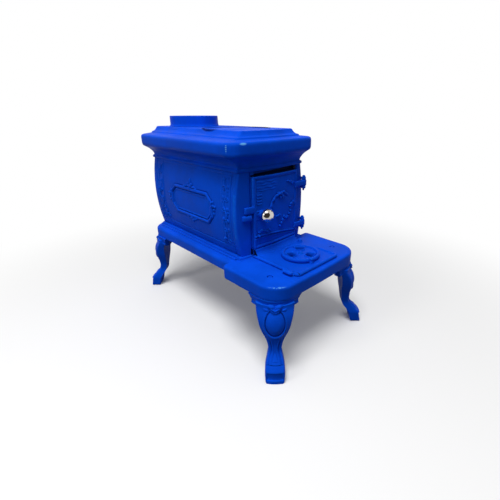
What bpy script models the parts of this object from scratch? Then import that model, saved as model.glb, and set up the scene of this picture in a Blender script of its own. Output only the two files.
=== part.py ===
"""Cast iron box stove: bombe body on a base with a front hearth, four cabriole legs, hinged door.

Working units are millimetres, turned to metres when a mesh is made. The stove stands on Z = 0 with
its door towards -Y. Y = 0 of the working frame is the line of the body's front corners; SHIFT_Y puts
the origin under the middle of the whole object.
"""
import math

import bmesh
import bpy
from mathutils import Matrix, Vector

# Driving dimensions, millimetres
GAP = 0.3
WALL = 6.0
BODY_W = 124.5
BODY_BULGE = 15.0
BODY_L = 463.0
BODY_Z0 = 274.0
BODY_H = 239.5
PLATE_T = 8.0
BOW = 14.0
TOP_H = 101.5
BASE_H = 49.0
BASE_R = 44.0
BASE_OUT = 34.5
HEARTH_OUT = 65.0
HEARTH_REACH = 204.0
HEARTH_R = 60.0
HEARTH_REAR = 9.0
HEARTH_DROP = 8.5
LID_R = 103.5
LID_REBATE = 4.2
LID_BACK = 44.5
FLUE_RIM_R = 81.0
FLUE_WALL = 5.0
FLUE_FOOT = 2.6
FLUE_INSET = 84.5
FLUE_H = 32.0
DOOR_INSET_L = 39.5
DOOR_INSET_R = 27.5
DOOR_T = 10.0
PORTAL_LAP = 8.0
HINGE_PIN_R = 3.0
KNOB_IN = 26.0
KNOB_R = 17.0
COVER_IN = 30.5
COVER_T = 5.5
SPIN_X = 8.0
SPIN_R = 57.5
SPIN_T = 11.0
LEG_BOLT_DX = 31.0
LEG_BOLT_DY = 49.4
LEG_TOE = 56.0
LEG_HALF = 27.0
ROD_IN = 14.5

# Sizes that follow from them
BODY_Z1 = BODY_Z0 + BODY_H
TOP_Z = BODY_Z1 + TOP_H
BASE_Z0 = BODY_Z0 - BASE_H
HEARTH_Z1 = BODY_Z0 - HEARTH_DROP
HEARTH_W = BODY_W + HEARTH_OUT
HEARTH_Y = -HEARTH_REACH
LID_Y = LID_R + LID_BACK
FLUE_BORE = FLUE_RIM_R - FLUE_WALL
FLUE_FOOT_R = FLUE_RIM_R + FLUE_FOOT
FLUE_Y = BODY_L - FLUE_INSET
EAR_X = FLUE_RIM_R - 14.0
DOOR_X0 = DOOR_INSET_L - BODY_W
DOOR_X1 = BODY_W - DOOR_INSET_R
DOOR_Z0 = BODY_Z0 + 16.0
DOOR_Z1 = BODY_Z1 - 12.5
HINGE_X = BODY_W + 4.0
HINGE_Y = -(BOW + 4.0)
HINGE_Z = (BODY_Z0 + 50.0, BODY_Z1 - 57.5)
KNOB_X = DOOR_X0 + KNOB_IN
KNOB_Z = BODY_Z0 + 120.0
COVER_X = BODY_W - COVER_IN
COVER_Y0 = HEARTH_Y + 10.0
PIVOT_X = COVER_X - 3.0
PIVOT_Y = -(BOW + 30.0)
SPIN_Y = HEARTH_Y + 89.0
ROD_X = BODY_W - ROD_IN
ROD_Y = (60.0, BODY_L - 67.0)
GRATE_Z = BODY_Z0 - 12.0
BOW_W = BODY_W + BODY_BULGE
BASE_REAR = BODY_L + BASE_OUT
ARC_IN = 1.0 - math.sqrt(0.5)
FRONT_CORNER = (HEARTH_W - HEARTH_R * ARC_IN, HEARTH_Y + HEARTH_R * ARC_IN)
REAR_CORNER = (BODY_W + BASE_OUT - BASE_R * ARC_IN, BASE_REAR - BASE_R * ARC_IN)
SHIFT_Y = -0.5 * (FRONT_CORNER[1] + REAR_CORNER[1])
COVER_Z0 = HEARTH_Z1 + GAP
COVER_Z1 = COVER_Z0 + COVER_T


# Scene and mesh helpers
def clear_scene():
    for ob in list(bpy.data.objects):
        bpy.data.objects.remove(ob, do_unlink=True)


def collection(name):
    col = bpy.data.collections.new(name)
    bpy.context.scene.collection.children.link(col)
    return col


def material(name, colour, metallic, roughness):
    mat = bpy.data.materials.new(name)
    mat.use_nodes = True
    bsdf = mat.node_tree.nodes["Principled BSDF"]
    bsdf.inputs["Base Color"].default_value = (*colour, 1.0)
    bsdf.inputs["Metallic"].default_value = metallic
    bsdf.inputs["Roughness"].default_value = roughness
    return mat


def close_up(bm):
    """Welds the mesh, drops faces without area and turns every face outward."""
    bmesh.ops.remove_doubles(bm, verts=bm.verts[:], dist=1e-6)
    bmesh.ops.dissolve_degenerate(bm, edges=bm.edges[:], dist=1e-7)
    bmesh.ops.recalc_face_normals(bm, faces=bm.faces[:])


def solid(bm, name="body"):
    """Makes an object of a bmesh given in working millimetres."""
    close_up(bm)
    bmesh.ops.transform(bm, matrix=Matrix.Translation((0, SHIFT_Y, 0)), verts=bm.verts[:])
    bmesh.ops.scale(bm, vec=(0.001, 0.001, 0.001), verts=bm.verts[:])
    mesh = bpy.data.meshes.new(name)
    bm.to_mesh(mesh)
    bm.free()
    ob = bpy.data.objects.new(name, mesh)
    bpy.context.scene.collection.objects.link(ob)
    return ob


def box(x0, x1, y0, y1, z0, z1):
    bm = bmesh.new()
    bmesh.ops.create_cube(bm, size=1.0)
    bmesh.ops.scale(bm, vec=(x1 - x0, y1 - y0, z1 - z0), verts=bm.verts[:])
    bmesh.ops.translate(bm, vec=((x0 + x1) / 2, (y0 + y1) / 2, (z0 + z1) / 2), verts=bm.verts[:])
    return solid(bm)


def rod(start, end, radius, end_radius=None, sides=24):
    """A cylinder, or a cone, between two points."""
    a, b = Vector(start), Vector(end)
    bm = bmesh.new()
    bmesh.ops.create_cone(bm, cap_ends=True, segments=sides, radius1=radius,
                          radius2=radius if end_radius is None else end_radius, depth=(b - a).length)
    turn = Vector((0, 0, 1)).rotation_difference(b - a).to_matrix().to_4x4()
    bmesh.ops.transform(bm, matrix=Matrix.Translation((a + b) / 2) @ turn, verts=bm.verts[:])
    return solid(bm)


def prism(points, axis, lo, hi):
    """Extrudes an outline from lo to hi: axis z takes (x, y) points, axis y takes (x, z) points."""
    curve = bpy.data.curves.new("outline", "CURVE")
    curve.dimensions = "2D"
    curve.fill_mode = "BOTH"
    curve.extrude = (hi - lo) / 2
    spline = curve.splines.new("POLY")
    spline.points.add(len(points) - 1)
    for point, (u, v) in zip(spline.points, points):
        point.co = (u, v, 0, 1)
    spline.use_cyclic_u = True
    ob = bpy.data.objects.new("outline", curve)
    bpy.context.scene.collection.objects.link(ob)
    bpy.context.view_layer.update()
    mesh = bpy.data.meshes.new_from_object(ob)
    bpy.data.objects.remove(ob, do_unlink=True)
    bm = bmesh.new()
    bm.from_mesh(mesh)
    middle = (lo + hi) / 2
    for v in bm.verts:
        u, w, t = v.co
        v.co = (u, w, t + middle) if axis == "z" else (u, t + middle, w)
    return solid(bm)


def loft(rings, capped=True):
    """Joins rings of equal count; with capped False the last ring closes on the first."""
    bm = bmesh.new()
    rows = [[bm.verts.new(p) for p in ring] for ring in rings]
    pairs = list(zip(rows, rows[1:]))
    if not capped:
        pairs.append((rows[-1], rows[0]))
    for a, b in pairs:
        for i in range(len(a)):
            j = (i + 1) % len(a)
            bm.faces.new((a[i], a[j], b[j], b[i]))
    if capped:
        bm.faces.new(list(reversed(rows[0])))
        bm.faces.new(rows[-1])
    return solid(bm)


def turned(profile, centre, steps=40, axis="z"):
    """Turns a profile given as (radius, height) points, top to bottom, about an axis through centre."""
    mesh = bpy.data.meshes.new("profile")
    edges = [(i, i + 1) for i in range(len(profile) - 1)]
    if profile[0][0] > 0 and profile[-1][0] > 0:
        edges.append((len(profile) - 1, 0))
    mesh.from_pydata([(r, 0, h) for r, h in profile], edges, [])
    ob = bpy.data.objects.new("profile", mesh)
    bpy.context.scene.collection.objects.link(ob)
    screw = ob.modifiers.new("Screw", "SCREW")
    screw.steps = steps
    screw.render_steps = steps
    screw.use_merge_vertices = True
    screw.merge_threshold = 0.0001
    bpy.context.view_layer.update()
    out = bpy.data.meshes.new_from_object(ob.evaluated_get(bpy.context.evaluated_depsgraph_get()))
    bpy.data.objects.remove(ob, do_unlink=True)
    bm = bmesh.new()
    bm.from_mesh(out)
    bmesh.ops.remove_doubles(bm, verts=bm.verts[:], dist=1e-4)
    turn = Matrix.Identity(4) if axis == "z" else Matrix.Rotation(math.radians(90), 4, "X")
    bmesh.ops.transform(bm, matrix=Matrix.Translation(centre) @ turn, verts=bm.verts[:])
    return solid(bm)


def combine(target, operation, *others):
    """Runs one exact boolean of the target with each of the other bodies, which are used up."""
    for other in others:
        modifier = target.modifiers.new("Boolean", "BOOLEAN")
        modifier.operation = operation
        modifier.solver = "EXACT"
        modifier.object = other
        bpy.context.view_layer.update()
        mesh = bpy.data.meshes.new_from_object(target.evaluated_get(bpy.context.evaluated_depsgraph_get()))
        target.modifiers.remove(modifier)
        target.data = mesh
        bpy.data.objects.remove(other, do_unlink=True)
    return target


def cut(target, *others):
    return combine(target, "DIFFERENCE", *others)


def add(target, *others):
    return combine(target, "UNION", *others)


def keep(ob, name, mat, pivot=None, smooth=35):
    """Names a finished body, gives it its material and puts its origin on its joint axis."""
    bm = bmesh.new()
    bm.from_mesh(ob.data)
    bmesh.ops.remove_doubles(bm, verts=bm.verts[:], dist=1e-6)
    bmesh.ops.triangulate(bm, faces=[f for f in bm.faces if len(f.verts) > 4])
    bmesh.ops.dissolve_degenerate(bm, edges=bm.edges[:], dist=1e-7)
    bmesh.ops.recalc_face_normals(bm, faces=bm.faces[:])
    if pivot is not None:
        place = Vector((pivot[0], pivot[1] + SHIFT_Y, pivot[2])) * 0.001
        bmesh.ops.translate(bm, vec=-place, verts=bm.verts[:])
        ob.location = place
    bm.to_mesh(ob.data)
    bm.free()
    ob.name = name
    ob.data.name = name
    ob.data.materials.clear()
    ob.data.materials.append(mat)
    ob.data.shade_smooth()
    ob.data.set_sharp_from_angle(angle=math.radians(smooth))
    for col in list(ob.users_collection):
        col.objects.unlink(ob)
    STOVE.objects.link(ob)
    return ob


# Shapes that several castings share
def bow(x):
    """How far the swelled front stands forward of its corners at x."""
    return BOW * max(0.0, 1.0 - (x / BOW_W) ** 2)


def body_half(z):
    """Half width of the swelled sides at height z."""
    t = (z - BODY_Z0) / (BODY_Z1 - BODY_Z0)
    return BODY_W + 4.0 * BODY_BULGE * t * (1.0 - t)


def plan(out, z, rear, r_front, r_rear, corner=5, edge=8):
    """A ring at height z around the body's plan, offset by out, by rear at the back, bowed in front."""
    w = BODY_W + out
    y0 = -0.57 * out
    y1 = BODY_L + rear
    points = [(-(w - r_front) + 2 * (w - r_front) * i / edge, y0) for i in range(1, edge)]
    corners = ((w - r_front, y0 + r_front, r_front, -90), (w - r_rear, y1 - r_rear, r_rear, 0),
               (-(w - r_rear), y1 - r_rear, r_rear, 90), (-(w - r_front), y0 + r_front, r_front, 180))
    for cx, cy, r, start in corners:
        for i in range(corner + 1):
            a = math.radians(start + 90.0 * i / corner)
            points.append((cx + r * math.cos(a), cy + r * math.sin(a)))
    ring = []
    for x, y in points:
        sag = BOW + 0.06 * out
        pull = sag * max(0.0, 1.0 - (x / (w + BODY_BULGE)) ** 2) if y < BODY_L / 2 else 0.0
        ring.append((x, y - pull, z))
    return ring


def wall_outline(inset=0.0, steps=12):
    """The outline of the front and back plates in x and z, with the sides swelled."""
    lo, hi = BODY_Z0 + GAP, BODY_Z1 - GAP
    zs = [lo + (hi - lo) * i / steps for i in range(steps + 1)]
    right = [(body_half(z) - inset, z) for z in zs]
    return right + [(-x, z) for x, z in reversed(right)]


def bowed_slab(x0, x1, back, front, steps=16):
    """Plan outline of a slab that follows the bow, from back to front measured forward of it."""
    xs = [x0 + (x1 - x0) * i / steps for i in range(steps + 1)]
    near = [(x, -bow(x) - front) for x in xs]
    return near + [(x, -bow(x) - back) for x in reversed(xs)]


# Body castings
def make_top():
    outer = [(0, 0, 0, 3, 3), (3.6, 3, 1.5, 3, 3), (4, 7, 1.8, 3, 3), (1, 11.5, 0.8, 3, 3),
             (2.5, 17, 1.2, 4, 4), (7.5, 23.5, 2.2, 6, 5), (16, 31.5, 3.6, 12, 8), (26.5, 37, 5, 20, 12),
             (35.5, 41.5, 6, 26, 15), (39.5, 46, 6.6, 29, 17), (40.5, 52.5, 7, 31, 18),
             (40.5, 69.5, 7, 31, 18), (38.8, 75, 6.6, 30, 17), (33, 78.5, 6, 27, 16),
             (4, 81.5, 5, 12, 10), (-2, 82.3, 4.6, 8, 8), (-4, 85.5, 4.4, 7, 7), (-10, 87.1, 4, 6, 6),
             (-16, 90, 3.6, 6, 6), (-20, 94.5, 3.2, 6, 6), (-23.5, 99.8, 2.8, 6, 6), (-26, TOP_H, 2.4, 6, 6)]
    inner = [(-38, 93, -5, 3, 3), (-24, 84.5, -5, 3, 3), (-12, 78.5, -4, 3, 3), (0, 74.5, -3, 6, 4),
             (29, 71.5, -1, 20, 11), (33.5, 67.5, 0, 24, 13), (33.5, 55.5, 0, 24, 13), (28, 48.5, -1, 20, 11),
             (20, 42.5, -2, 13, 9), (9, 36.5, -4, 6, 5), (0, 27.5, -5, 4, 4), (-5, 18.5, -6, 3, 3),
             (-6, -8.5, -6, 3, 3)]
    top = loft([plan(out, BODY_Z1 + z, *rest) for out, z, *rest in outer])
    cut(top, loft([plan(out, BODY_Z1 + z, *rest) for out, z, *rest in reversed(inner)]))
    cut(top, rod((0, LID_Y, TOP_Z - 25), (0, LID_Y, TOP_Z + 5), LID_R - 5.5, sides=64),
        rod((0, LID_Y, TOP_Z - LID_REBATE), (0, LID_Y, TOP_Z + 5), LID_R + 0.5, sides=64),
        rod((0, FLUE_Y, TOP_Z - 25), (0, FLUE_Y, TOP_Z + 5), FLUE_BORE - 2, sides=64))
    for side in (-1, 1):
        x = side * EAR_X
        ear = box(x + side * 4 - 11, x + side * 4 + 11, FLUE_Y - 9, FLUE_Y + 9, TOP_Z - 8.2, TOP_Z - 0.4)
        add(top, ear)
        cut(top, rod((x, FLUE_Y, TOP_Z - 15), (x, FLUE_Y, TOP_Z + 1), 3.3, sides=16))
    for x in (-ROD_X, ROD_X):
        for y in ROD_Y:
            add(top, rod((x, y, TOP_Z - 45), (x, y, TOP_Z - 19), 9.0, sides=20))
            cut(top, rod((x, y, TOP_Z - 55), (x, y, TOP_Z - 27), 4.4, sides=20))
    keep(top, "top_plate", PAINT)


def make_collar():
    z = TOP_Z + GAP
    collar = turned([(FLUE_RIM_R - 1, z + FLUE_H), (FLUE_RIM_R, z + FLUE_H - 1), (FLUE_RIM_R + 0.4, z + 8),
                     (FLUE_FOOT_R, z + 3), (FLUE_FOOT_R, z), (FLUE_BORE, z), (FLUE_BORE, z + FLUE_H - 1),
                     (FLUE_BORE + 1, z + FLUE_H)], (0, FLUE_Y, 0), steps=64)
    for side in (-1, 1):
        x = side * EAR_X
        add(collar, box(x + side * 2 - 9, x + side * 2 + 9, FLUE_Y - 9, FLUE_Y + 9, z, z + 6))
        cut(collar, rod((x, FLUE_Y, z - 2), (x, FLUE_Y, z + 10), 3.3, sides=16))
    keep(collar, "flue_collar", PAINT)
    for side, name in ((-1, "collar_bolt_left"), (1, "collar_bolt_right")):
        x = side * EAR_X
        bolt = rod((x, FLUE_Y, TOP_Z - 23), (x, FLUE_Y, z + 7), 3.0, sides=16)
        add(bolt, rod((x, FLUE_Y, z + 6 + GAP), (x, FLUE_Y, z + 10), 5.5, sides=6),
            rod((x, FLUE_Y, TOP_Z - 14.5), (x, FLUE_Y, TOP_Z - 8.5 - GAP), 5.5, sides=6))
        keep(bolt, name, STEEL)


def make_lid():
    seat = TOP_Z - LID_REBATE + GAP
    lid = turned([(0, TOP_Z), (LID_R - 0.8, TOP_Z), (LID_R, TOP_Z - 0.8), (LID_R, seat), (LID_R - 6, seat),
                  (LID_R - 6, seat - 5), (LID_R - 7, seat - 6), (0, seat - 6)], (0, LID_Y, 0), steps=64)
    cut(lid, box(-16, 16, LID_Y - 74, LID_Y - 60, TOP_Z - 4, TOP_Z + 4))
    keep(lid, "cooking_lid", PAINT, pivot=(0, LID_Y, seat))


def side_profile(inset, steps=14):
    lo, hi = BODY_Z0 + GAP, BODY_Z1 - GAP
    return [(body_half(lo + (hi - lo) * i / steps) - inset, lo + (hi - lo) * i / steps)
            for i in range(steps + 1)]


def make_side(side, name):
    """A swelled side: a panel with a flat margin, a strip along each end and a raised long octagon."""
    y0, y1 = PLATE_T + GAP, BODY_L - PLATE_T - GAP
    panel = prism(side_profile(0) + side_profile(WALL)[::-1], "y", y0, y1)
    field = prism(side_profile(1.0)[1:-1] + side_profile(-8)[1:-1][::-1], "y", y0 + 32, y1 - 32)
    cut(panel, field)
    middle_y, middle_z = BODY_L / 2, (BODY_Z0 + BODY_Z1) / 2
    for grow, level, deep in ((0, 1.6, 0), (-7, 9.0, 1)):
        long_half, high_half = BODY_L / 2 - 104.5 + grow, BODY_H / 2 - 72.75 + grow
        frame = [(long_half - 27, high_half), (long_half, high_half - 23 - grow * 0.4),
                 (long_half, 27 - high_half + grow * 0.4), (long_half - 27, 1 - high_half)]
        outline = [(middle_y + a, middle_z + b) for a, b in frame] + \
                  [(middle_y - a, middle_z + b) for a, b in reversed(frame)]
        stamp = loft([[(BODY_W - 6, y, z) for y, z in outline], [(BODY_W + 30, y, z) for y, z in outline]])
        if deep:
            shell = prism(side_profile(0.7, 17) + side_profile(-9, 17)[::-1], "y", y0 + 40, y1 - 40)
            cut(panel, combine(shell, "INTERSECT", stamp))
        else:
            shell = prism(side_profile(3.3, 17) + side_profile(-level, 17)[::-1], "y", y0 + 40, y1 - 40)
            add(panel, combine(shell, "INTERSECT", stamp))
    if side < 0:
        bm = bmesh.new()
        bm.from_mesh(panel.data)
        bmesh.ops.scale(bm, vec=(-1, 1, 1), verts=bm.verts[:])
        bmesh.ops.recalc_face_normals(bm, faces=bm.faces[:])
        bm.to_mesh(panel.data)
        bm.free()
    keep(panel, name, PAINT)


def make_front():
    """The bowed front: a portal that the door closes, with rest lug and hinge lugs."""
    steps = 16
    xs = [-BOW_W + 2 * BOW_W * i / steps for i in range(steps + 1)]
    near = [(x, -bow(x)) for x in xs]
    far = [(x, PLATE_T if abs(x) > BODY_W - 14 else PLATE_T - bow(x)) for x in reversed(xs)]
    front = prism(near + far, "z", BODY_Z0 - 1, BODY_Z1 + 1)
    combine(front, "INTERSECT", prism(wall_outline(), "y", -40, 40))
    cut(front, box(DOOR_X0 + PORTAL_LAP, DOOR_X1 - PORTAL_LAP, -40, 40, BODY_Z0 - 5, DOOR_Z1 - PORTAL_LAP))
    x = DOOR_X0 - 5.5
    sections = ((x - 30.5, -5, 1, 9), (x - 9.5, -17, -2.5, 9), (x - 4, -22, -3.5, 8), (x, -19, -4, 5))
    z = KNOB_Z - 6
    lug = loft([[(u, near, z - h), (u, near, z + h), (u, far, z + h), (u, far, z - h)]
                for u, near, far, h in sections])
    add(front, lug)
    for z in HINGE_Z:
        for lo, hi in ((z - 18, z - 9.4), (z + 9.4, z + 18)):
            arm = box(HINGE_X - 7, HINGE_X + 3, HINGE_Y, 4, lo, hi)
            add(arm, rod((HINGE_X, HINGE_Y, lo), (HINGE_X, HINGE_Y, hi), 7.0, sides=20))
            add(front, arm)
        cut(front, rod((HINGE_X, HINGE_Y, z - 30), (HINGE_X, HINGE_Y, z + 30), HINGE_PIN_R + GAP, sides=20))
    keep(front, "front_plate", PAINT)


def make_back():
    back = prism(wall_outline(), "y", BODY_L - PLATE_T, BODY_L)
    keep(back, "back_plate", PAINT)


def make_base():
    z1 = BODY_Z0 - GAP
    z0 = BODY_Z0
    skirt = [(BASE_OUT - 2, BASE_Z0, 0.9), (BASE_OUT, BASE_Z0 + 3, 1), (BASE_OUT, z0 - 28, 1),
             (BASE_OUT - 1, z0 - 22, 0.98), (BASE_OUT - 4, z0 - 17, 0.9), (BASE_OUT - 10.5, z0 - 13, 0.75),
             (12, z0 - 8, 0.45), (5, z0 - 3.5, 0.2), (3, z1, 0.15)]
    pocket = [(BASE_OUT - 7.5, BASE_Z0 - 2, 0.9), (BASE_OUT - 7.5, z0 - 29, 0.9), (BASE_OUT - 12.5, z0 - 22, 0.75),
              (4, z0 - 16, 0.3)]
    rings = [base_ring(d, z, k * BASE_R) for d, z, k in skirt]
    base = loft(rings)
    hollow = loft([base_ring(d, z, k * BASE_R) for d, z, k in pocket])
    block = box(-BODY_W - 3, BODY_W + 3, -20, BODY_L + 3, BASE_Z0 - 5, z0 + 6)
    cut(hollow, block)
    cut(base, hollow)
    w, y0, y1 = BODY_W - 7, HEARTH_REAR + GAP + 9, BODY_L - 17
    cut(base, box(-w, w, y0, y1, GRATE_Z, z0 + 6), box(21.5 - w, w - 21.5, y0 + 10, y1 - 10, BASE_Z0 + 6, GRATE_Z + 2),
        box(47.5 - w, w - 47.5, 0, y0 + 41.7, BASE_Z0 + 7, GRATE_Z - 2))
    for x in (-ROD_X, ROD_X):
        for y in ROD_Y:
            cut(base, rod((x, y, BASE_Z0 - 5), (x, y, z0 + 6), 4.4, sides=20))
    for x in (-1, 1):
        px, py = REAR_CORNER[0] - LEG_BOLT_DX, REAR_CORNER[1] - LEG_BOLT_DY
        cut(base, rod((x * px, py, BASE_Z0 - 5), (x * px, py, z0 + 6), 4.4, sides=20),
            rod((x * px, py, BASE_Z0 + 6), (x * px, py, z0 + 26), 10.5, sides=20))
    keep(base, "base_plate", PAINT)


def base_ring(out, z, r_rear, corner=6, side=4):
    """A ring of the base: square against the hearth in front, rounded at the rear."""
    w = BODY_W + out
    y0 = HEARTH_REAR + GAP
    y1 = BODY_L + out
    r = max(4.0, r_rear)
    points = [(w - 2 * w * i / side, y0) for i in range(side, -1, -1)]
    for cx, start in ((w - r, 0), (-(w - r), 90)):
        for i in range(corner + 1):
            a = math.radians(start + 90.0 * i / corner)
            points.append((cx + r * math.cos(a), y1 - r + r * math.sin(a)))
    return [(x, y, z) for x, y in points]


def hearth_ring(inset, z, corner=7, edge=10):
    """A ring of the hearth: bowed front with full corners, square rear."""
    w = HEARTH_W - inset
    y0 = HEARTH_Y + inset
    y1 = HEARTH_REAR - inset * 0.5
    r = HEARTH_R - inset
    rr = max(2.0, 14.0 - inset)
    points = [(-(w - r) + 2 * (w - r) * i / edge, y0) for i in range(1, edge)]
    for cx, cy, q, start in ((w - r, y0 + r, r, -90), (w - rr, y1 - rr, rr, 0), (-(w - rr), y1 - rr, rr, 90),
                             (-(w - r), y0 + r, r, 180)):
        for i in range(corner + 1):
            a = math.radians(start + 90.0 * i / corner)
            points.append((cx + q * math.cos(a), cy + q * math.sin(a)))
    return [(x, y - (6.0 * max(0.0, 1 - (x / w) ** 2) if y < -60 else 0.0), z) for x, y in points]


def make_hearth():
    hearth = loft([hearth_ring(2.5, BASE_Z0), hearth_ring(0, BASE_Z0 + 3), hearth_ring(0, HEARTH_Z1 - 6),
                   hearth_ring(1.8, HEARTH_Z1 - 1.8), hearth_ring(6, HEARTH_Z1)])
    wings = loft([hearth_ring(8, BASE_Z0 - 2), hearth_ring(8, HEARTH_Z1 - 8)])
    w, z0 = HEARTH_W - 71.5, BODY_Z0 + 6
    cut(wings, box(-w, w, HEARTH_Y - 56, 40, BASE_Z0 - 5, z0))
    for x in (-1, 1):
        px, py = FRONT_CORNER[0] - LEG_BOLT_DX, FRONT_CORNER[1] + LEG_BOLT_DY
        cut(wings, rod((x * px, py, BASE_Z0 - 5), (x * px, py, z0), 12, sides=24))
    cut(hearth, wings)
    ledge_x = BODY_W + 12
    ledge = prism([(-ledge_x, HEARTH_REAR)] + [(-ledge_x + 2 * ledge_x * i / 16,
                  -bow(-ledge_x + 2 * ledge_x * i / 16) - 9) for i in range(17)] + [(ledge_x, HEARTH_REAR)],
                  "z", HEARTH_Z1 - 2, BODY_Z0 - GAP)
    add(hearth, ledge)
    cut(hearth, box(8 - w, w - 8, HEARTH_Y + 12, 40, BASE_Z0 + 6, HEARTH_Z1 - 7),
        box(14 - COVER_X, COVER_X - 14, SPIN_Y - 66, SPIN_Y + 62, HEARTH_Z1 - 20, HEARTH_Z1 + 20))
    for x in (-1, 1):
        px, py = FRONT_CORNER[0] - LEG_BOLT_DX, FRONT_CORNER[1] + LEG_BOLT_DY
        cut(hearth, rod((x * px, py, BASE_Z0 - 5), (x * px, py, z0), 4.4, sides=20),
            rod((x * px, py, HEARTH_Z1 - 4), (x * px, py, z0), 8.5, sides=24))
    cut(hearth, rod((PIVOT_X, PIVOT_Y, BASE_Z0 + 15), (PIVOT_X, PIVOT_Y, z0 + 10), 3.3, sides=20))
    keep(hearth, "hearth", PAINT)


def draft_hole(angle, r0=17.0, width=17.0):
    """A rounded opening of the draft register, its long way across the radius."""
    a = math.radians(angle)
    r1 = SPIN_R - 13.5
    points = []
    for cu, cv, start in ((r1 - 6, width - 6, 0), (r0 + 5, width - 8, 90), (r0 + 5, 8 - width, 180),
                          (r1 - 6, 6 - width, 270)):
        r = 6 if cu > 0.5 * (r0 + r1) else 5
        for k in range(4):
            b = math.radians(start + 30 * k)
            u, v = cu + r * math.cos(b), cv + r * math.sin(b)
            points.append((SPIN_X + u * math.cos(a) - v * math.sin(a),
                           SPIN_Y + u * math.sin(a) + v * math.cos(a)))
    return prism(points, "z", HEARTH_Z1 - 5.5, HEARTH_Z1 + 34.5)


def make_cover():
    """The plate that covers the hearth's air box, turned up at the rear to meet the door."""
    r = 14.0
    points = []
    for cx, start in ((-COVER_X + r, 180), (COVER_X - r, 270)):
        for i in range(6):
            a = math.radians(start + 18.0 * i)
            points.append((cx + r * math.cos(a), COVER_Y0 + r + r * math.sin(a)))
    for i in range(9):
        a = math.radians(-74 + 148 * i / 8)
        points.append((PIVOT_X + 11 * math.cos(a), PIVOT_Y + 11 * math.sin(a)))
    for i in range(17):
        x = COVER_X - 2 * COVER_X * i / 16
        points.append((x, -bow(x) - 11.0))
    y = COVER_Y0
    points += [(-COVER_X, y + 51), (-COVER_X - 8, y + 47), (-COVER_X - 13, y + 41), (-COVER_X - 13, y + 22),
               (-COVER_X - 8, y + 15), (-COVER_X, y + 12)]
    cover = prism(points, "z", COVER_Z0, COVER_Z1)
    x0, x1 = DOOR_X0 - 1, COVER_X - 1
    rise = DOOR_Z0 - 1.5 - COVER_Z1
    steps = 12
    rings = []
    for i in range(steps + 1):
        x = x0 + (x1 - x0) * i / steps
        b = -bow(x)
        section = [(b - 6, COVER_Z1 + rise), (b - 11, COVER_Z1 + rise), (b - 12.5, COVER_Z1 + rise - 3)]
        for k in range(1, 6):
            a = math.radians(18.0 * k)
            section.append((b - 12.5 - 14 * (1 - math.cos(a)), COVER_Z1 + rise - 3 - (rise - 3) * math.sin(a)))
        section += [(b - 26.5, COVER_Z1 - 2), (b - 12, COVER_Z1 - 2), (b - 12, BODY_Z0 + 1),
                    (b - 6, BODY_Z0 + 1)]
        rings.append([(x, y, z) for y, z in section])
    riser = loft(rings)
    add(cover, riser)
    for i in range(3):
        cut(cover, draft_hole(45 + 120 * i))
    cut(cover, rod((SPIN_X, SPIN_Y, COVER_Z0 - 16), (SPIN_X, SPIN_Y, COVER_Z0 + 34), 3.4, sides=20),
        rod((PIVOT_X, PIVOT_Y, COVER_Z0 - 16), (PIVOT_X, PIVOT_Y, COVER_Z0 + 34), 3.6, sides=20))
    keep(cover, "hearth_cover", PAINT, pivot=(PIVOT_X, PIVOT_Y, COVER_Z0))
    z = COVER_Z1 + GAP
    pivot = turned([(0, z + 5), (4, z + 4.4), (6.6, z + 2.4), (7, z), (3.0, z), (3.0, HEARTH_Z1 - 16),
                    (0, HEARTH_Z1 - 16)], (PIVOT_X, PIVOT_Y, 0), steps=24)
    nut = rod((PIVOT_X, PIVOT_Y, HEARTH_Z1 - 12.5), (PIVOT_X, PIVOT_Y, HEARTH_Z1 - 7.5), 5.5, sides=6)
    add(pivot, nut)
    keep(pivot, "cover_pivot", STEEL)


def make_spinner():
    z0 = COVER_Z1 + GAP
    disc = turned([(3.4, z0 + SPIN_T), (SPIN_R - 12, z0 + SPIN_T), (SPIN_R - 8, z0 + SPIN_T + 0.2),
                   (SPIN_R - 3, z0 + SPIN_T - 0.6), (SPIN_R - 0.8, z0 + SPIN_T - 2.6), (SPIN_R, z0 + 4),
                   (SPIN_R, z0), (SPIN_R - 7, z0), (SPIN_R - 7, z0 + 2.4), (SPIN_R - 10, z0 + 3.6),
                   (9, z0 + 3.6), (8, z0), (3.4, z0)], (SPIN_X, SPIN_Y, 0), steps=48)
    for i in range(3):
        cut(disc, draft_hole(45 + 120 * i))
    a = math.radians(-108)
    kx, ky = SPIN_X + (SPIN_R + 1.5) * math.cos(a), SPIN_Y + (SPIN_R + 1.5) * math.sin(a)
    add(disc, rod((kx, ky, z0 + 0.5), (kx, ky, z0 + SPIN_T + 2), 6.0, sides=20))
    keep(disc, "spinner", PAINT, pivot=(SPIN_X, SPIN_Y, z0))
    z = z0 + SPIN_T + GAP
    bolt = turned([(0, z + 2.4), (4, z + 2), (7, z), (3.0, z), (3.0, COVER_Z0 - 12), (0, COVER_Z0 - 12)],
                  (SPIN_X, SPIN_Y, 0), steps=24)
    add(bolt, rod((SPIN_X, SPIN_Y, COVER_Z0 - 8), (SPIN_X, SPIN_Y, COVER_Z0 - GAP), 6.5, sides=6))
    keep(bolt, "spinner_bolt", STEEL)


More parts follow.
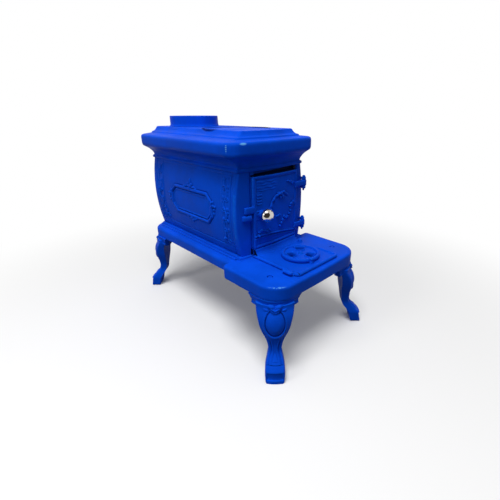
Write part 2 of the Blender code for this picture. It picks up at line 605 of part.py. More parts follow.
# Door group
def make_door():
    """The bowed door with a rounded border, a long rest tab, an oval boss and two hinge knuckles."""
    door = prism(bowed_slab(DOOR_X0, DOOR_X1, 0.5, DOOR_T), "z", DOOR_Z0, DOOR_Z1)
    sink = prism(bowed_slab(DOOR_X0 + 9, DOOR_X1 - 9, DOOR_T - 1.6, DOOR_T + 20), "z", DOOR_Z0 + 9,
                 DOOR_Z1 - 9)
    cut(door, sink)
    centre_x, centre_z = DOOR_X1 - 79, KNOB_Z - 2
    for rx, rz, level in ((50, 52, 3.0), (41, 43, -1.0)):
        oval = [(centre_x + rx * math.cos(math.radians(12 * i)), centre_z + rz * math.sin(math.radians(12 * i)))
                for i in range(30)]
        if level > 0:
            shell = prism(bowed_slab(DOOR_X0 + 4, DOOR_X1 - 4, 4, DOOR_T + level), "z", DOOR_Z0 + 4, DOOR_Z1 - 4)
            add(door, combine(shell, "INTERSECT", prism(oval, "y", -60, 20)))
        else:
            shell = prism(bowed_slab(DOOR_X0 + 4, DOOR_X1 - 4, DOOR_T - 1.4, DOOR_T + 20), "z",
                          DOOR_Z0 + 4, DOOR_Z1 - 4)
            cut(door, combine(shell, "INTERSECT", prism(oval, "y", -60, 20)))
    x0, x1, x2, z = DOOR_X0 + 6, DOOR_X0 - 27, DOOR_X0 - 30, KNOB_Z + 16
    add(door, loft([[(x0, -11.5, z - 10), (x0, -18.5, z - 10), (x0, -18.5, z + 10), (x0, -11.5, z + 10)],
                    [(x1, -8.5, z - 10), (x1, -18, z - 10), (x1, -18, z + 10), (x1, -8.5, z + 10)],
                    [(x2, -8.5, z - 8.5), (x2, -15, z - 8.5), (x2, -15, z + 8.5), (x2, -8.5, z + 8.5)]]))
    add(door, rod((KNOB_X, -16, KNOB_Z), (KNOB_X, -27, KNOB_Z), 11, 9.5, sides=28))
    for z in HINGE_Z:
        root_y, tip_y = -bow(DOOR_X1 - 8) - DOOR_T, HINGE_Y - 6
        arm = loft([[(DOOR_X1 - 8, root_y + 5, z - 8), (DOOR_X1 - 8, root_y - 1, z - 8),
                     (DOOR_X1 - 8, root_y - 1, z + 8), (DOOR_X1 - 8, root_y + 5, z + 8)],
                    [(HINGE_X, tip_y + 9, z - 8), (HINGE_X, tip_y, z - 8), (HINGE_X, tip_y, z + 8),
                     (HINGE_X, tip_y + 9, z + 8)]])
        add(arm, rod((HINGE_X, HINGE_Y, z - 9), (HINGE_X, HINGE_Y, z + 9), 8.8, sides=24))
        add(door, arm)
        cut(door, rod((HINGE_X, HINGE_Y, z - 30), (HINGE_X, HINGE_Y, z + 30), HINGE_PIN_R + GAP, sides=20))
    cut(door, rod((KNOB_X, 10, KNOB_Z), (KNOB_X, -40, KNOB_Z), 4.4, sides=20))
    keep(door, "door", PAINT, pivot=(HINGE_X, HINGE_Y, 0))


def make_hinge_pins():
    for z, name in zip(HINGE_Z, ("hinge_pin_lower", "hinge_pin_upper")):
        top = z + 18 + GAP
        pin = turned([(0, top + 5), (3, top + 4.4), (5, top + 2.4), (5, top), (HINGE_PIN_R, top),
                      (HINGE_PIN_R, z - 23), (2, z - 25), (0, z - 25)], (HINGE_X, HINGE_Y, 0), steps=20)
        keep(pin, name, PAINT)


def make_latch():
    """The plated knob and its shaft, and the pawl, which hangs free and turns in behind the frame."""
    y = -27.3
    knob = turned([(0, 33), (7, 32.4), (12, 30), (15.4, 26), (KNOB_R, 20), (16.2, 14), (13, 9.5), (9, 7),
                   (7.5, 4), (9, 2), (9, 0), (4.0, 0), (4.0, y - 4.5), (3.4, y - 4.5), (3.4, y - 17),
                   (0, y - 17)], (KNOB_X, y, KNOB_Z), steps=36, axis="y")
    keep(knob, "latch_knob", NICKEL, pivot=(KNOB_X, y, KNOB_Z))
    pawl_y = 4.8
    pawl = prism([(KNOB_X - 7, KNOB_Z + 9), (KNOB_X - 7, KNOB_Z - 34), (KNOB_X + 3, KNOB_Z - 34),
                  (KNOB_X + 7, KNOB_Z - 30), (KNOB_X + 7, KNOB_Z + 9)], "y", pawl_y, pawl_y + 5)
    cut(pawl, rod((KNOB_X, -10, KNOB_Z), (KNOB_X, 20, KNOB_Z), 3.7, sides=20))
    keep(pawl, "latch_pawl", STEEL, pivot=(KNOB_X, pawl_y, KNOB_Z))
    nut = rod((KNOB_X, pawl_y + 5 + GAP, KNOB_Z), (KNOB_X, pawl_y + 10, KNOB_Z), 7, sides=6)
    cut(nut, rod((KNOB_X, -10, KNOB_Z), (KNOB_X, 20, KNOB_Z), 3.7, sides=20))
    keep(nut, "latch_nut", STEEL, pivot=(KNOB_X, pawl_y, KNOB_Z))


# Legs, grate and fastenings
def leg_section(s, w, depth, z, crown, steps=6):
    """A ring of the leg: a crowned outer face, straight sides and an open-ended flat back."""
    ring = []
    for i in range(steps + 1):
        t = -1.0 + 2.0 * i / steps
        ring.append((s - crown * t * t, w * t, z))
    ring += [(s - depth, w, z), (s - depth, -w, z)]
    return ring


def make_leg(name, mirror_x, mirror_y):
    """A cabriole leg in its own frame: s runs outward on the diagonal from the corner it stands under."""
    z1 = BASE_Z0 - GAP
    sections = [(LEG_TOE, LEG_HALF - 4, 33, 0, 2), (LEG_TOE, LEG_HALF - 1, 35, 5, 3),
                (LEG_TOE - 3, LEG_HALF, 36, 20, 4), (LEG_TOE - 9, LEG_HALF, 36, 36, 4),
                (LEG_TOE - 18, 25, 35, 48, 4), (LEG_TOE - 32, 21, 31, 61, 4), (13, 18, 27, 75, 4),
                (10, 17.6, 26, 87, 4), (10.5, 19.5, 29, 101, 5), (13.5, 24.5, 34, 115, 7),
                (17, 31, 39, 131, 10), (19.5, 37, 43, 148, 13), (18.5, 42.5, 44, 166, 16),
                (13, 46.5, 42, 183, 18), (6, 48.5, 38, 196, 19), (2, 49, 35, 203, 19)]
    tall = BASE_Z0 / 225.0
    leg = loft([leg_section(s, w + (1.8 if z > 80 else 0), d, z * tall, c) for s, w, d, z, c in sections])
    inner = [(5, 11, 30, 80, 2), (5.5, 14.2, 38, 101, 4), (8.4, 19, 44, 115, 6), (11.4, 25.4, 50, 131, 9),
             (13.6, 31.4, 60, 148, 12), (12.6, 36.6, 60, 166, 14), (7.4, 40.5, 60, 183, 16),
             (-2, 42.5, 56, 206, 17)]
    cut(leg, loft([leg_section(s, w, d, z * tall, c) for s, w, d, z, c in inner]))
    cap = [(-4, -2, z1 - 30.5), (-2.4, 0, z1 - 29), (-1.6, 1, z1 - 25), (-1.8, 1, z1 - 17),
           (-2.2, 1.8, z1 - 13), (-1.6, 4.4, z1 - 9), (0, 8, z1 - 4), (0.5, 9.5, z1)]
    rings = [cap_ring(ds, 62 + dw, z) for ds, dw, z in cap]
    block = loft(rings)
    inner_ring = [cap_ring(-9, 55, z1 - 44.7), cap_ring(-9, 55, z1 - 7)]
    cut(block, loft(inner_ring))
    add(leg, block)
    bolt_s, bolt_t = -(LEG_BOLT_DX + LEG_BOLT_DY) * math.sqrt(0.5), (LEG_BOLT_DY - LEG_BOLT_DX) * math.sqrt(0.5)
    add(leg, box(bolt_s - 11, -35, bolt_t - 12, bolt_t + 12, z1 - 6.9, z1 - 0.1))
    cut(leg, box(bolt_s - 20, bolt_s + 10.5, bolt_t - 12.5, bolt_t + 12.5, z1 - 40, z1 - 7))
    cut(leg, rod((bolt_s, bolt_t, z1 - 35), (bolt_s, bolt_t, z1 + 15), 4.4, sides=16))
    corner = FRONT_CORNER if not mirror_y else REAR_CORNER
    bm = bmesh.new()
    bm.from_mesh(leg.data)
    bmesh.ops.translate(bm, vec=(0, -SHIFT_Y * 0.001, 0), verts=bm.verts[:])
    turn = Matrix.Rotation(math.radians(-45), 4, "Z")
    bmesh.ops.transform(bm, matrix=turn, verts=bm.verts[:])
    sx = -1 if mirror_x else 1
    sy = -1 if mirror_y else 1
    bmesh.ops.scale(bm, vec=(sx, sy, 1), verts=bm.verts[:])
    bmesh.ops.translate(bm, vec=(sx * corner[0] * 0.001, (corner[1] + SHIFT_Y) * 0.001, 0), verts=bm.verts[:])
    bmesh.ops.recalc_face_normals(bm, faces=bm.faces[:])
    bm.to_mesh(leg.data)
    bm.free()
    keep(leg, name, PAINT)


def cap_ring(s, w, z, steps=8):
    """A ring of the leg's top moulding, which follows the rounded corner above it."""
    r = 60.0 + s
    reach = 46.0
    ring = []
    for i in range(steps + 1):
        a = math.radians(-reach + 2 * reach * i / steps)
        ring.append((s - r + r * math.cos(a), r * math.sin(a), z))
    x, y = ring[-1][0], ring[-1][1]
    run = (w - y)
    ring.append((x - run, w, z))
    ring.append((x - run - 12, w - 12, z))
    ring.append((x - run - 12, -w + 12, z))
    ring.append((x - run, -w, z))
    return ring


def leg_bolt_places():
    for corner, sign, where in ((FRONT_CORNER, 1, "front"), (REAR_CORNER, -1, "rear")):
        for side, hand in ((-1, "left"), (1, "right")):
            yield side * (corner[0] - LEG_BOLT_DX), corner[1] + sign * LEG_BOLT_DY, sign, where + "_" + hand


def make_leg_bolts():
    under = BASE_Z0 - GAP - 7 - GAP
    for x, y, sign, place in leg_bolt_places():
        if sign > 0:
            head_z = HEARTH_Z1 - 4 + GAP
            bolt = turned([(0, head_z + 3.2), (5, head_z + 3), (8, head_z + 1), (8, head_z), (4, head_z),
                           (4, under - 12), (0, under - 12)], (x, y, 0), steps=24)
        else:
            head_z = BASE_Z0 + 6 + GAP
            bolt = turned([(0, head_z + 4), (5, head_z + 3.6), (8, head_z + 1.5), (8, head_z), (4, head_z),
                           (4, under - 12), (0, under - 12)], (x, y, 0), steps=24)
        keep(bolt, "leg_bolt_" + place, STEEL)
        nut = rod((x, y, under - 7), (x, y, under), 7.5, sides=6)
        cut(nut, rod((x, y, under - 20), (x, y, under + 10), 4.0 + GAP, sides=20))
        keep(nut, "leg_nut_" + place, STEEL)


def make_grate():
    """The loose fire grate on the base's inner ledge."""
    y0, y1 = HEARTH_REAR + 14, BODY_L - 21
    half = BODY_W - 23.5
    grate = box(-half, half, y0, y1, GRATE_Z + GAP, GRATE_Z + 8)
    for i in range(9):
        x = (half - 13) * (0.25 * i - 1)
        for a, b in ((y0 + 14, (y0 + y1) / 2 - 8), ((y0 + y1) / 2 + 8, y1 - 14)):
            cut(grate, box(x - 5.5, x + 5.5, a, b, GRATE_Z - 7, GRATE_Z + 18))
    keep(grate, "fire_grate", IRON)


def make_tie_rods():
    for x, hand in ((-ROD_X, "left"), (ROD_X, "right")):
        for y, where in zip(ROD_Y, ("front", "rear")):
            keep(rod((x, y, BASE_Z0 - 6), (x, y, TOP_Z - 29), 4.0, sides=16), "tie_rod_" + where + "_" + hand, STEEL)
            nut = rod((x, y, BASE_Z0 - GAP - 7), (x, y, BASE_Z0 - GAP), 7.5, sides=6)
            cut(nut, rod((x, y, BASE_Z0 - 25), (x, y, BASE_Z0 + 15), 4.0 + GAP, sides=16))
            keep(nut, "tie_nut_" + where + "_" + hand, STEEL)


clear_scene()
STOVE = collection("box_stove")
PAINT = material("blue_paint", (0.012, 0.10, 0.62), 0.0, 0.4)
NICKEL = material("bright_plate", (0.72, 0.70, 0.66), 1.0, 0.18)
STEEL = material("steel", (0.25, 0.25, 0.26), 1.0, 0.45)
IRON = material("bare_iron", (0.08, 0.08, 0.085), 0.8, 0.6)

make_top()
make_collar()
make_lid()
make_side(-1, "side_left")
make_side(1, "side_right")
make_front()
make_back()
make_base()
make_hearth()
make_cover()
make_spinner()
make_door()
make_hinge_pins()
make_latch()
make_leg("leg_front_left", True, False)
make_leg("leg_front_right", False, False)
make_leg("leg_rear_left", True, True)
make_leg("leg_rear_right", False, True)
make_leg_bolts()
make_grate()
make_tie_rods()
bpy.context.view_layer.update()
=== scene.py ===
import math

import bmesh
import bpy
import numpy as np
from mathutils import Matrix


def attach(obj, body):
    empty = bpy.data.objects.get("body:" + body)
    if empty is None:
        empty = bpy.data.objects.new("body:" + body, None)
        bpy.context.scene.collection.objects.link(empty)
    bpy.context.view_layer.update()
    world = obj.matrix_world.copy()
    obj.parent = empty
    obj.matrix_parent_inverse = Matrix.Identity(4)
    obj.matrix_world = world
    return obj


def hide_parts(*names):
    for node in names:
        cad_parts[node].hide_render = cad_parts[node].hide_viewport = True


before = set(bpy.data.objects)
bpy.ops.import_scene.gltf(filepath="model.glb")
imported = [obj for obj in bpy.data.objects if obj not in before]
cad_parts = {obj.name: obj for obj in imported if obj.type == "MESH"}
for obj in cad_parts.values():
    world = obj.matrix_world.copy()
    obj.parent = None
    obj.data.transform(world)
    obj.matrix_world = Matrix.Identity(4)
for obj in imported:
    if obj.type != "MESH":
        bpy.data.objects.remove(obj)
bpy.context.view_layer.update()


# The studio: a pale floor, soft light from above and from the left, and a camera at the door's left
# front corner. The floor is plain and catches the stove's shadow; far away it fades to the white
# of the backdrop.
class Value:
    """A shader socket; arithmetic on it adds Math nodes."""

    def __init__(self, finish, socket):
        self.finish = finish
        self.socket = socket

    def math(self, operation, a, b):
        return self.finish.node("ShaderNodeMath", {"operation": operation}, {0: a, 1: b})

    def __add__(self, other):
        return self.math("ADD", self, other)

    __radd__ = __add__

    def __sub__(self, other):
        return self.math("SUBTRACT", self, other)

    def __rsub__(self, other):
        return self.math("SUBTRACT", other, self)

    def __mul__(self, other):
        return self.math("MULTIPLY", self, other)

    __rmul__ = __mul__

    def most(self, other):
        return self.math("MAXIMUM", self, other)


class Finish:
    """A material under construction: node() adds one node with its settings, then its sockets."""

    def __init__(self, name):
        self.material = bpy.data.materials.new(name)
        self.material.use_nodes = True
        self.tree = self.material.node_tree
        self.shader = self.tree.nodes["Principled BSDF"]
        self.output = self.tree.nodes["Material Output"]

    def node(self, kind, settings, sockets, out=0):
        made = self.tree.nodes.new(kind)
        for key, value in settings.items():
            setattr(made, key, value)
        for key, value in sockets.items():
            self.put(made.inputs[key], value)
        return Value(self, made.outputs[out])

    def put(self, socket, value):
        if isinstance(value, Value):
            self.tree.links.new(value.socket, socket)
        else:
            socket.default_value = value

    def set(self, **sockets):
        for key, value in sockets.items():
            self.put(self.shader.inputs[key.replace("_", " ")], value)

    def place(self):
        return self.node("ShaderNodeTexCoord", {}, {}, out="Object")

    def noise(self, scale, detail=3.0, rough=0.55, place=None):
        return self.node("ShaderNodeTexNoise", {}, {"Vector": place or self.place(), "Scale": scale,
                                                    "Detail": detail, "Roughness": rough})

    def ramp(self, value, low, high):
        """0 below low, 1 above high, and a smooth step between."""
        return self.node("ShaderNodeMapRange", {"interpolation_type": "SMOOTHSTEP"},
                         {"Value": value, "From Min": low, "From Max": high})

    def spot(self, centre, reach, full=0.4):
        """1 around a centre, falling to 0 on the ellipsoid with these half axes."""
        offset = self.node("ShaderNodeVectorMath", {"operation": "SUBTRACT"}, {0: self.place(), 1: centre})
        share = self.node("ShaderNodeVectorMath", {"operation": "DIVIDE"}, {0: offset, 1: reach})
        away = self.node("ShaderNodeVectorMath", {"operation": "LENGTH"}, {0: share}, out="Value")
        return 1.0 - self.ramp(away, full, 1.0)

    def mix(self, factor, a, b):
        made = self.tree.nodes.new("ShaderNodeMix")
        made.data_type = "RGBA"
        for index, value in ((0, factor), (6, a), (7, b)):
            self.put(made.inputs[index], value)
        return Value(self, made.outputs[2])

    def bump(self, height, strength, distance, under=None):
        sockets = {"Height": height, "Strength": strength, "Distance": distance}
        if under:
            sockets["Normal"] = under
        return self.node("ShaderNodeBump", {}, sockets)


scene = bpy.context.scene
scene.view_settings.view_transform = "Standard"
# The camera is fitted to the body's straight edges, the collar's rim and the four feet.
lens = bpy.data.cameras.new("camera")
lens.lens = 22.104
lens.sensor_width = 36.0
lens.shift_x = -0.04469
lens.shift_y = 0.01286
lens.clip_start = 0.02
camera = bpy.data.objects.new("camera", lens)
camera.matrix_world = Matrix(((0.705121, 0.301902, -0.641607, -0.63957),
                              (-0.709087, 0.299395, -0.638403, -0.79100),
                              (-0.000641, 0.905106, 0.425184, 0.65817), (0, 0, 0, 1)))
scene.collection.objects.link(camera)
scene.camera = camera

FLOOR_HALF = 30.0
FLOOR_SEEN, FLOOR_BOUNCE = (0.93, 0.93, 0.93, 1), (0.16, 0.16, 0.16, 1)
floor_mesh = bpy.data.meshes.new("floor")
floor_mesh.from_pydata([(sx * FLOOR_HALF, sy * FLOOR_HALF, 0) for sx, sy in ((-1, -1), (1, -1), (1, 1), (-1, 1))],
                       [], [(0, 1, 2, 3)])
floor = bpy.data.objects.new("floor", floor_mesh)
scene.collection.objects.link(floor)
pale = Finish("pale_floor")
seen = pale.node("ShaderNodeLightPath", {}, {}, out="Is Camera Ray")
for kind in ("Is Glossy Ray", "Is Transmission Ray"):
    seen = seen.most(pale.node("ShaderNodeLightPath", {}, {}, out=kind))
pale.set(Base_Color=pale.mix(seen, FLOOR_BOUNCE, FLOOR_SEEN), Roughness=0.9)
pale.shader.inputs["Specular IOR Level"].default_value = 0.1
glow = pale.node("ShaderNodeEmission", {}, {"Color": (1, 1, 1, 1), "Strength": 1.0})
fade = (1.0 - pale.spot((-0.1, -0.1, 0.0), (1.5, 1.5, 1.5), 0.33)) * seen
pale.put(pale.output.inputs["Surface"], pale.node("ShaderNodeMixShader", {}, {
    0: fade, 1: Value(pale, pale.shader.outputs[0]), 2: glow}))
floor_mesh.materials.append(pale.material)

world = bpy.data.worlds.new("studio")
scene.world = world
world.use_nodes = True
sky = world.node_tree
path = sky.nodes.new("ShaderNodeLightPath")
ray = sky.nodes.new("ShaderNodeTexCoord")
height = sky.nodes.new("ShaderNodeSeparateXYZ")
sky.links.new(ray.outputs["Generated"], height.inputs[0])
dome = sky.nodes.new("ShaderNodeMapRange")
for key, value in (("From Min", -0.1), ("From Max", 0.9), ("To Min", 0.11), ("To Max", 0.46)):
    dome.inputs[key].default_value = value
sky.links.new(height.outputs["Z"], dome.inputs["Value"])
shown = dome.outputs[0]
for kind in ("Is Camera Ray", "Is Glossy Ray", "Is Transmission Ray"):
    most = sky.nodes.new("ShaderNodeMath")
    most.operation = "MAXIMUM"
    sky.links.new(shown, most.inputs[0])
    sky.links.new(path.outputs[kind], most.inputs[1])
    shown = most.outputs[0]
sky.links.new(shown, sky.nodes["Background"].inputs["Strength"])
sky.nodes["Background"].inputs["Color"].default_value = (1, 1, 1, 1)

for name, spot, size, power, aim in (("lamp_above", (-0.75, -0.55, 2.65), 1.2, 49.0, (0, 0, 0.4)),
                                     ("lamp_left", (-2.4, 0.3, 1.5), 0.8, 12.0, (0, 0, 0.35))):
    light = bpy.data.lights.new(name, "AREA")
    light.shape = "DISK"
    light.size = size
    light.energy = power
    lamp = bpy.data.objects.new(name, light)
    back = np.array(spot) - np.array(aim)
    back /= np.linalg.norm(back)
    across = np.cross((0, 0, 1), back)
    across /= np.linalg.norm(across)
    up = np.cross(back, across)
    lamp.matrix_world = Matrix([[across[i], up[i], back[i], spot[i]] for i in range(3)] + [[0, 0, 0, 1]])
    scene.collection.objects.link(lamp)


# Base plate: the iron casting that the body stands on. Its skirt rolls out under the sides and the
# back in one moulding and is painted blue like the rest; inside are the ledge for the grate and the
# ash pit. The pieces are drawn in millimetres, with Y counted from the front's foot.
SHIFT_Y = -149.093
BODY_HALF, BODY_REAR = 124.5, 463.0
BODY_FOOT, BODY_HEAD = 274.0, 513.5
LID_Y = 148.0


def grid_faces(nu, nv, wrap_u=False, wrap_v=False):
    """Quads between the neighbours of a grid numbered row by row; a wrapped side joins end to start."""
    i = np.arange(nu if wrap_u else nu - 1)[:, None]
    j = np.arange(nv if wrap_v else nv - 1)[None, :]
    k, m = (i + 1) % nu, (j + 1) % nv
    return np.stack(np.broadcast_arrays(i * nv + j, k * nv + j, k * nv + m, i * nv + m), -1).reshape(-1, 4)


def loft(rings, low=True, high=True):
    """A tube through closed rings, an array (rings, points, 3), with a flat face on each end asked for."""
    count, around = rings.shape[:2]
    faces = grid_faces(count, around, wrap_v=True).tolist()
    if low:
        faces.append(list(range(around))[::-1])
    if high:
        faces.append(list(range((count - 1) * around, count * around)))
    return rings.reshape(-1, 3), faces


def rounded(rows, times=2):
    """A profile whose corners are cut at a quarter of each side, again and again, into curves."""
    rows = np.asarray(rows, float)
    for _ in range(times):
        a, b = rows[:-1], rows[1:]
        inner = np.stack([0.75 * a + 0.25 * b, 0.25 * a + 0.75 * b], 1).reshape(-1, rows.shape[1])
        rows = np.vstack([rows[:1], inner, rows[-1:]])
    return rows


LONG_EDGE = 0.009


def relief_of(mesh):
    """How far each point stands above (+) or below (-) its neighbours, as a share of their distance;
    nought at the ends of long edges, which bound broad flat faces."""
    count = len(mesh.vertices)
    place = np.empty(count * 3)
    mesh.vertices.foreach_get("co", place)
    place = place.reshape(-1, 3)
    normal = np.empty(count * 3, np.float32)
    mesh.vertex_normals.foreach_get("vector", normal)
    normal = normal.reshape(-1, 3)
    edge = np.empty(len(mesh.edges) * 2, int)
    mesh.edges.foreach_get("vertices", edge)
    a, b = edge.reshape(-1, 2).T
    step = place[a] - place[b]
    far = np.linalg.norm(step, axis=1) + 1e-9
    total = np.bincount(a, (step * normal[a]).sum(1) / far, count)
    total -= np.bincount(b, (step * normal[b]).sum(1) / far, count)
    links = np.maximum(np.bincount(a, None, count) + np.bincount(b, None, count), 1)
    share = total / links
    for _ in range(2):
        near = np.bincount(a, share[b], count) + np.bincount(b, share[a], count)
        share = 0.5 * share + 0.5 * near / links
    long = far > LONG_EDGE
    share[a[long]] = share[b[long]] = 0.0
    return share


def build(name, body, finish, parts, stands_for=(), sharp=42):
    """One object from (points, faces) parts in millimetres, welded, turned outward and painted; its
    edges are sharp past the given angle in degrees."""
    points, faces, start = [], [], 0
    for place, part in parts:
        points.append(np.asarray(place, float).reshape(-1, 3))
        faces += [[start + i for i in face] for face in part]
        start += len(points[-1])
    place = np.vstack(points)
    place[:, 1] += SHIFT_Y
    mesh = bpy.data.meshes.new(name)
    mesh.from_pydata((place * 0.001).tolist(), [], faces)
    bm = bmesh.new()
    bm.from_mesh(mesh)
    bmesh.ops.remove_doubles(bm, verts=bm.verts[:], dist=2e-6)
    bmesh.ops.recalc_face_normals(bm, faces=bm.faces[:])
    bm.to_mesh(mesh)
    bm.free()
    mesh.shade_smooth()
    mesh.set_sharp_from_angle(angle=math.radians(sharp))
    share = relief_of(mesh)
    mesh.attributes.new("relief", "FLOAT", "POINT").data.foreach_set("value", share.astype(np.float32))
    mesh.materials.append(finish)
    piece = bpy.data.objects.new(name, mesh)
    scene.collection.objects.link(piece)
    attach(piece, body)
    if stands_for:
        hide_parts(*stands_for)


def blue_enamel(name, colour):
    """Blue stove paint on sand-cast iron: fine casting grain, painted shade in the hollows, edges lightened by wear
    and by painted highlight, and gloss that changes a little from patch to patch. Hollows and edges come from the
    relief attribute, and painted shadow in three gaps, painted glints and one chip from masks at their places."""
    coat = Finish(name)
    place = coat.place()
    sand = coat.noise(900.0, 2.0, 0.6, place)
    skin = coat.noise(160.0, 4.0, 0.6, place)
    cloud = coat.noise(9.0, 4.0, 0.6, place)
    relief = coat.node("ShaderNodeAttribute", {"attribute_name": "relief"}, {}, out="Fac")
    # Painted shade and highlight: hollows of the relief are darkened toward deep blue, its convex edges lightened
    # toward pale blue.
    hollow = coat.ramp(relief * -1.0, 0.02, 0.18)
    edge = coat.ramp(relief, 0.05, 0.26)
    thin, thick = (tuple(share * c for c in colour) + (1,) for share in (0.88, 1.1))
    deep = coat.mix(coat.ramp(cloud, 0.35, 0.7), thin, thick)
    shade = coat.mix(hollow * 0.72, deep, (0.001, 0.008, 0.10, 1))
    painted_shade_and_highlight = coat.mix(edge * (0.3 + 0.3 * coat.ramp(skin, 0.45, 0.62)), shade, (0.004, 0.16, 0.85, 1))
    # Painted shadow: near-black blue in the gap round the lid, in the gap over the door and in the slot at the door's
    # foot, where shade falls.
    across, ahead, high = (coat.node("ShaderNodeSeparateXYZ", {}, {0: place}, out=axis) for axis in "XYZ")
    lid = (0.0, 0.001 * (LID_Y + SHIFT_Y), 0.614)
    joint = coat.spot(lid, (0.1062, 0.1062, 1.0), 0.99) * coat.ramp(high, 0.606, 0.611) * \
        (1.0 - coat.spot(lid, (0.1022, 0.1022, 1.0), 0.985))
    above = coat.spot((0.006, -0.16, 0.507), (0.094, 9.0, 9.0), 0.97) * coat.ramp(high, 0.5002, 0.5009) * \
        (1.0 - coat.ramp(high - across * 0.045, 0.5080, 0.5090)) * (1.0 - coat.ramp(ahead, -0.130, -0.125))
    beside = coat.spot((-0.0865, -0.170, 0.279), (0.0014, 9.0, 9.0)) * coat.ramp(high, 0.2714, 0.2720) * \
        (1.0 - coat.ramp(high, 0.2878, 0.2886)) * (1.0 - coat.ramp(ahead, -0.152, -0.148))
    painted_gap_shadow = (joint * 0.4).most(above * 0.96).most(beside * 0.96)
    with_painted_gap_shadow = coat.mix(painted_gap_shadow, painted_shade_and_highlight, (0.0008, 0.003, 0.016, 1))
    # Pale blue marks: edge wear that is partly painted highlight, and painted glints down the flange's corner, on its
    # top and on the hearth's rim.
    edge_wear_and_glint = coat.ramp(relief, 0.12, 0.3) * coat.ramp(coat.noise(70.0, 4.0, 0.7, place), 0.6, 0.68)
    painted_corner_glints = coat.spot((-0.1622, -0.1567, 0.578), (0.0026, 0.0026, 0.013), 0.5) * \
        coat.ramp(coat.node("ShaderNodeMath", {"operation": "SINE"}, {0: high * 1400.0}), -0.2, 0.5)
    painted_flange_glint = coat.spot((-0.126, -0.1798, 0.5880), (0.013, 0.006, 0.0040))
    rim = coat.spot((-0.168, -0.338, 0.2634), (0.030, 0.026, 0.0017)) * \
        coat.ramp(coat.noise(150.0, 3.0, 0.6, place), 0.42, 0.58)
    wear_and_painted_glints = (edge_wear_and_glint * 0.4).most(painted_corner_glints * 0.9).most(painted_flange_glint * 0.85).most(rim * 0.65)
    with_wear_and_glints = coat.mix(wear_and_painted_glints, with_painted_gap_shadow, (0.13, 0.42, 0.82, 1))
    chip = coat.spot((-0.159, -0.17, 0.559), (0.005, 0.005, 0.005)) * \
        coat.ramp(coat.noise(300.0, 2.0, 0.5, place), 0.4, 0.5)
    bare = coat.mix(chip, with_wear_and_glints, (0.05, 0.022, 0.012, 1))
    rough = 0.36 + 0.14 * coat.ramp(cloud, 0.3, 0.75) + 0.2 * hollow + 0.18 * wear_and_painted_glints + 0.08 * skin
    cast = coat.bump(skin, 0.22, 0.0012, coat.bump(sand, 0.12, 0.0006))
    coat.set(Base_Color=bare, Roughness=rough, Normal=coat.bump(cloud, 0.12, 0.006, cast))
    coat.shader.inputs["Specular IOR Level"].default_value = 0.03
    coat.shader.inputs["Specular Tint"].default_value = (0.12, 0.42, 1.0, 1.0)
    return coat.material


BLUE = (0.002, 0.069, 0.64)
paint = blue_enamel("blue_paint_cast", BLUE)


def base_rings(rows, corner=20, side=40):
    """Closed rings of the base from rows (offset outward from the body, height, share of the rear
    corner's radius, front inset): straight in front, rounded at the rear."""
    out, z, k, inset = np.asarray(rows, float).T[:, :, None]
    w, y0, y1 = BODY_HALF + out, 9.3 + inset, BODY_REAR + out
    r = np.maximum(4.0, 44.0 * k)
    a = np.radians(np.linspace(0, 90, corner))[None]
    t = np.linspace(-1, 1, side)[None]
    s = np.linspace(0, 1, side)[None]
    x = np.hstack([w * t, w + 0 * s, w - r + r * np.cos(a), -(w - r) * t, -(w - r) - r * np.sin(a), -w + 0 * s])
    y = np.hstack([y0 + 0 * t, y0 + (y1 - r - y0) * s, y1 - r + r * np.sin(a), y1 + 0 * t,
                   y1 - r + r * np.cos(a), y1 - r - (y1 - r - y0) * s])
    return np.stack([x, y, z + 0 * x], -1)


BASE_FOOT, BASE_TOP = 225.0, 273.7
skirt = rounded([(33.2, BASE_FOOT, 0.95, 0), (34.5, 225.6, 1, 0), (34.5, 228.5, 1, 0), (34.5, 240, 1, 0),
                 (34.5, 248, 1, 0), (33.6, 253, 0.98, 0), (30.5, 257.4, 0.9, 0), (25, 260.8, 0.75, 0),
                 (19, 262.4, 0.62, 0), (16.6, 262.4, 0.56, 0), (16.0, 263.0, 0.54, 0), (16.2, 265.6, 0.54, 0),
                 (14.8, 267.8, 0.5, 0), (12.0, 268.4, 0.45, 0), (10.2, 267.2, 0.4, 0), (9.4, 266.6, 0.36, 0),
                 (8.6, 267.2, 0.33, 0), (8.4, 269.6, 0.3, 0), (7.6, 272.6, 0.28, 0), (5.6, BASE_TOP, 0.2, 0),
                 (3.4, BASE_TOP, 0.15, 0), (3, BASE_TOP, 0.15, 0)])
under = [(3, BASE_FOOT, 0.2, 9), (3, 256, 0.2, 9), (22, 252, 0.75, 6), (27, 245, 0.9, 4), (27, BASE_FOOT, 0.9, 4)]
inside = [(-7, BASE_TOP, 0.1, 9), (-7, 262, 0.1, 9), (-28.5, 262, 0.1, 19), (-28.5, 231, 0.1, 19)]
build("base_casting", "stove_body", paint, [loft(base_rings(np.vstack([under, skirt, inside])))],
      ("base_plate",))


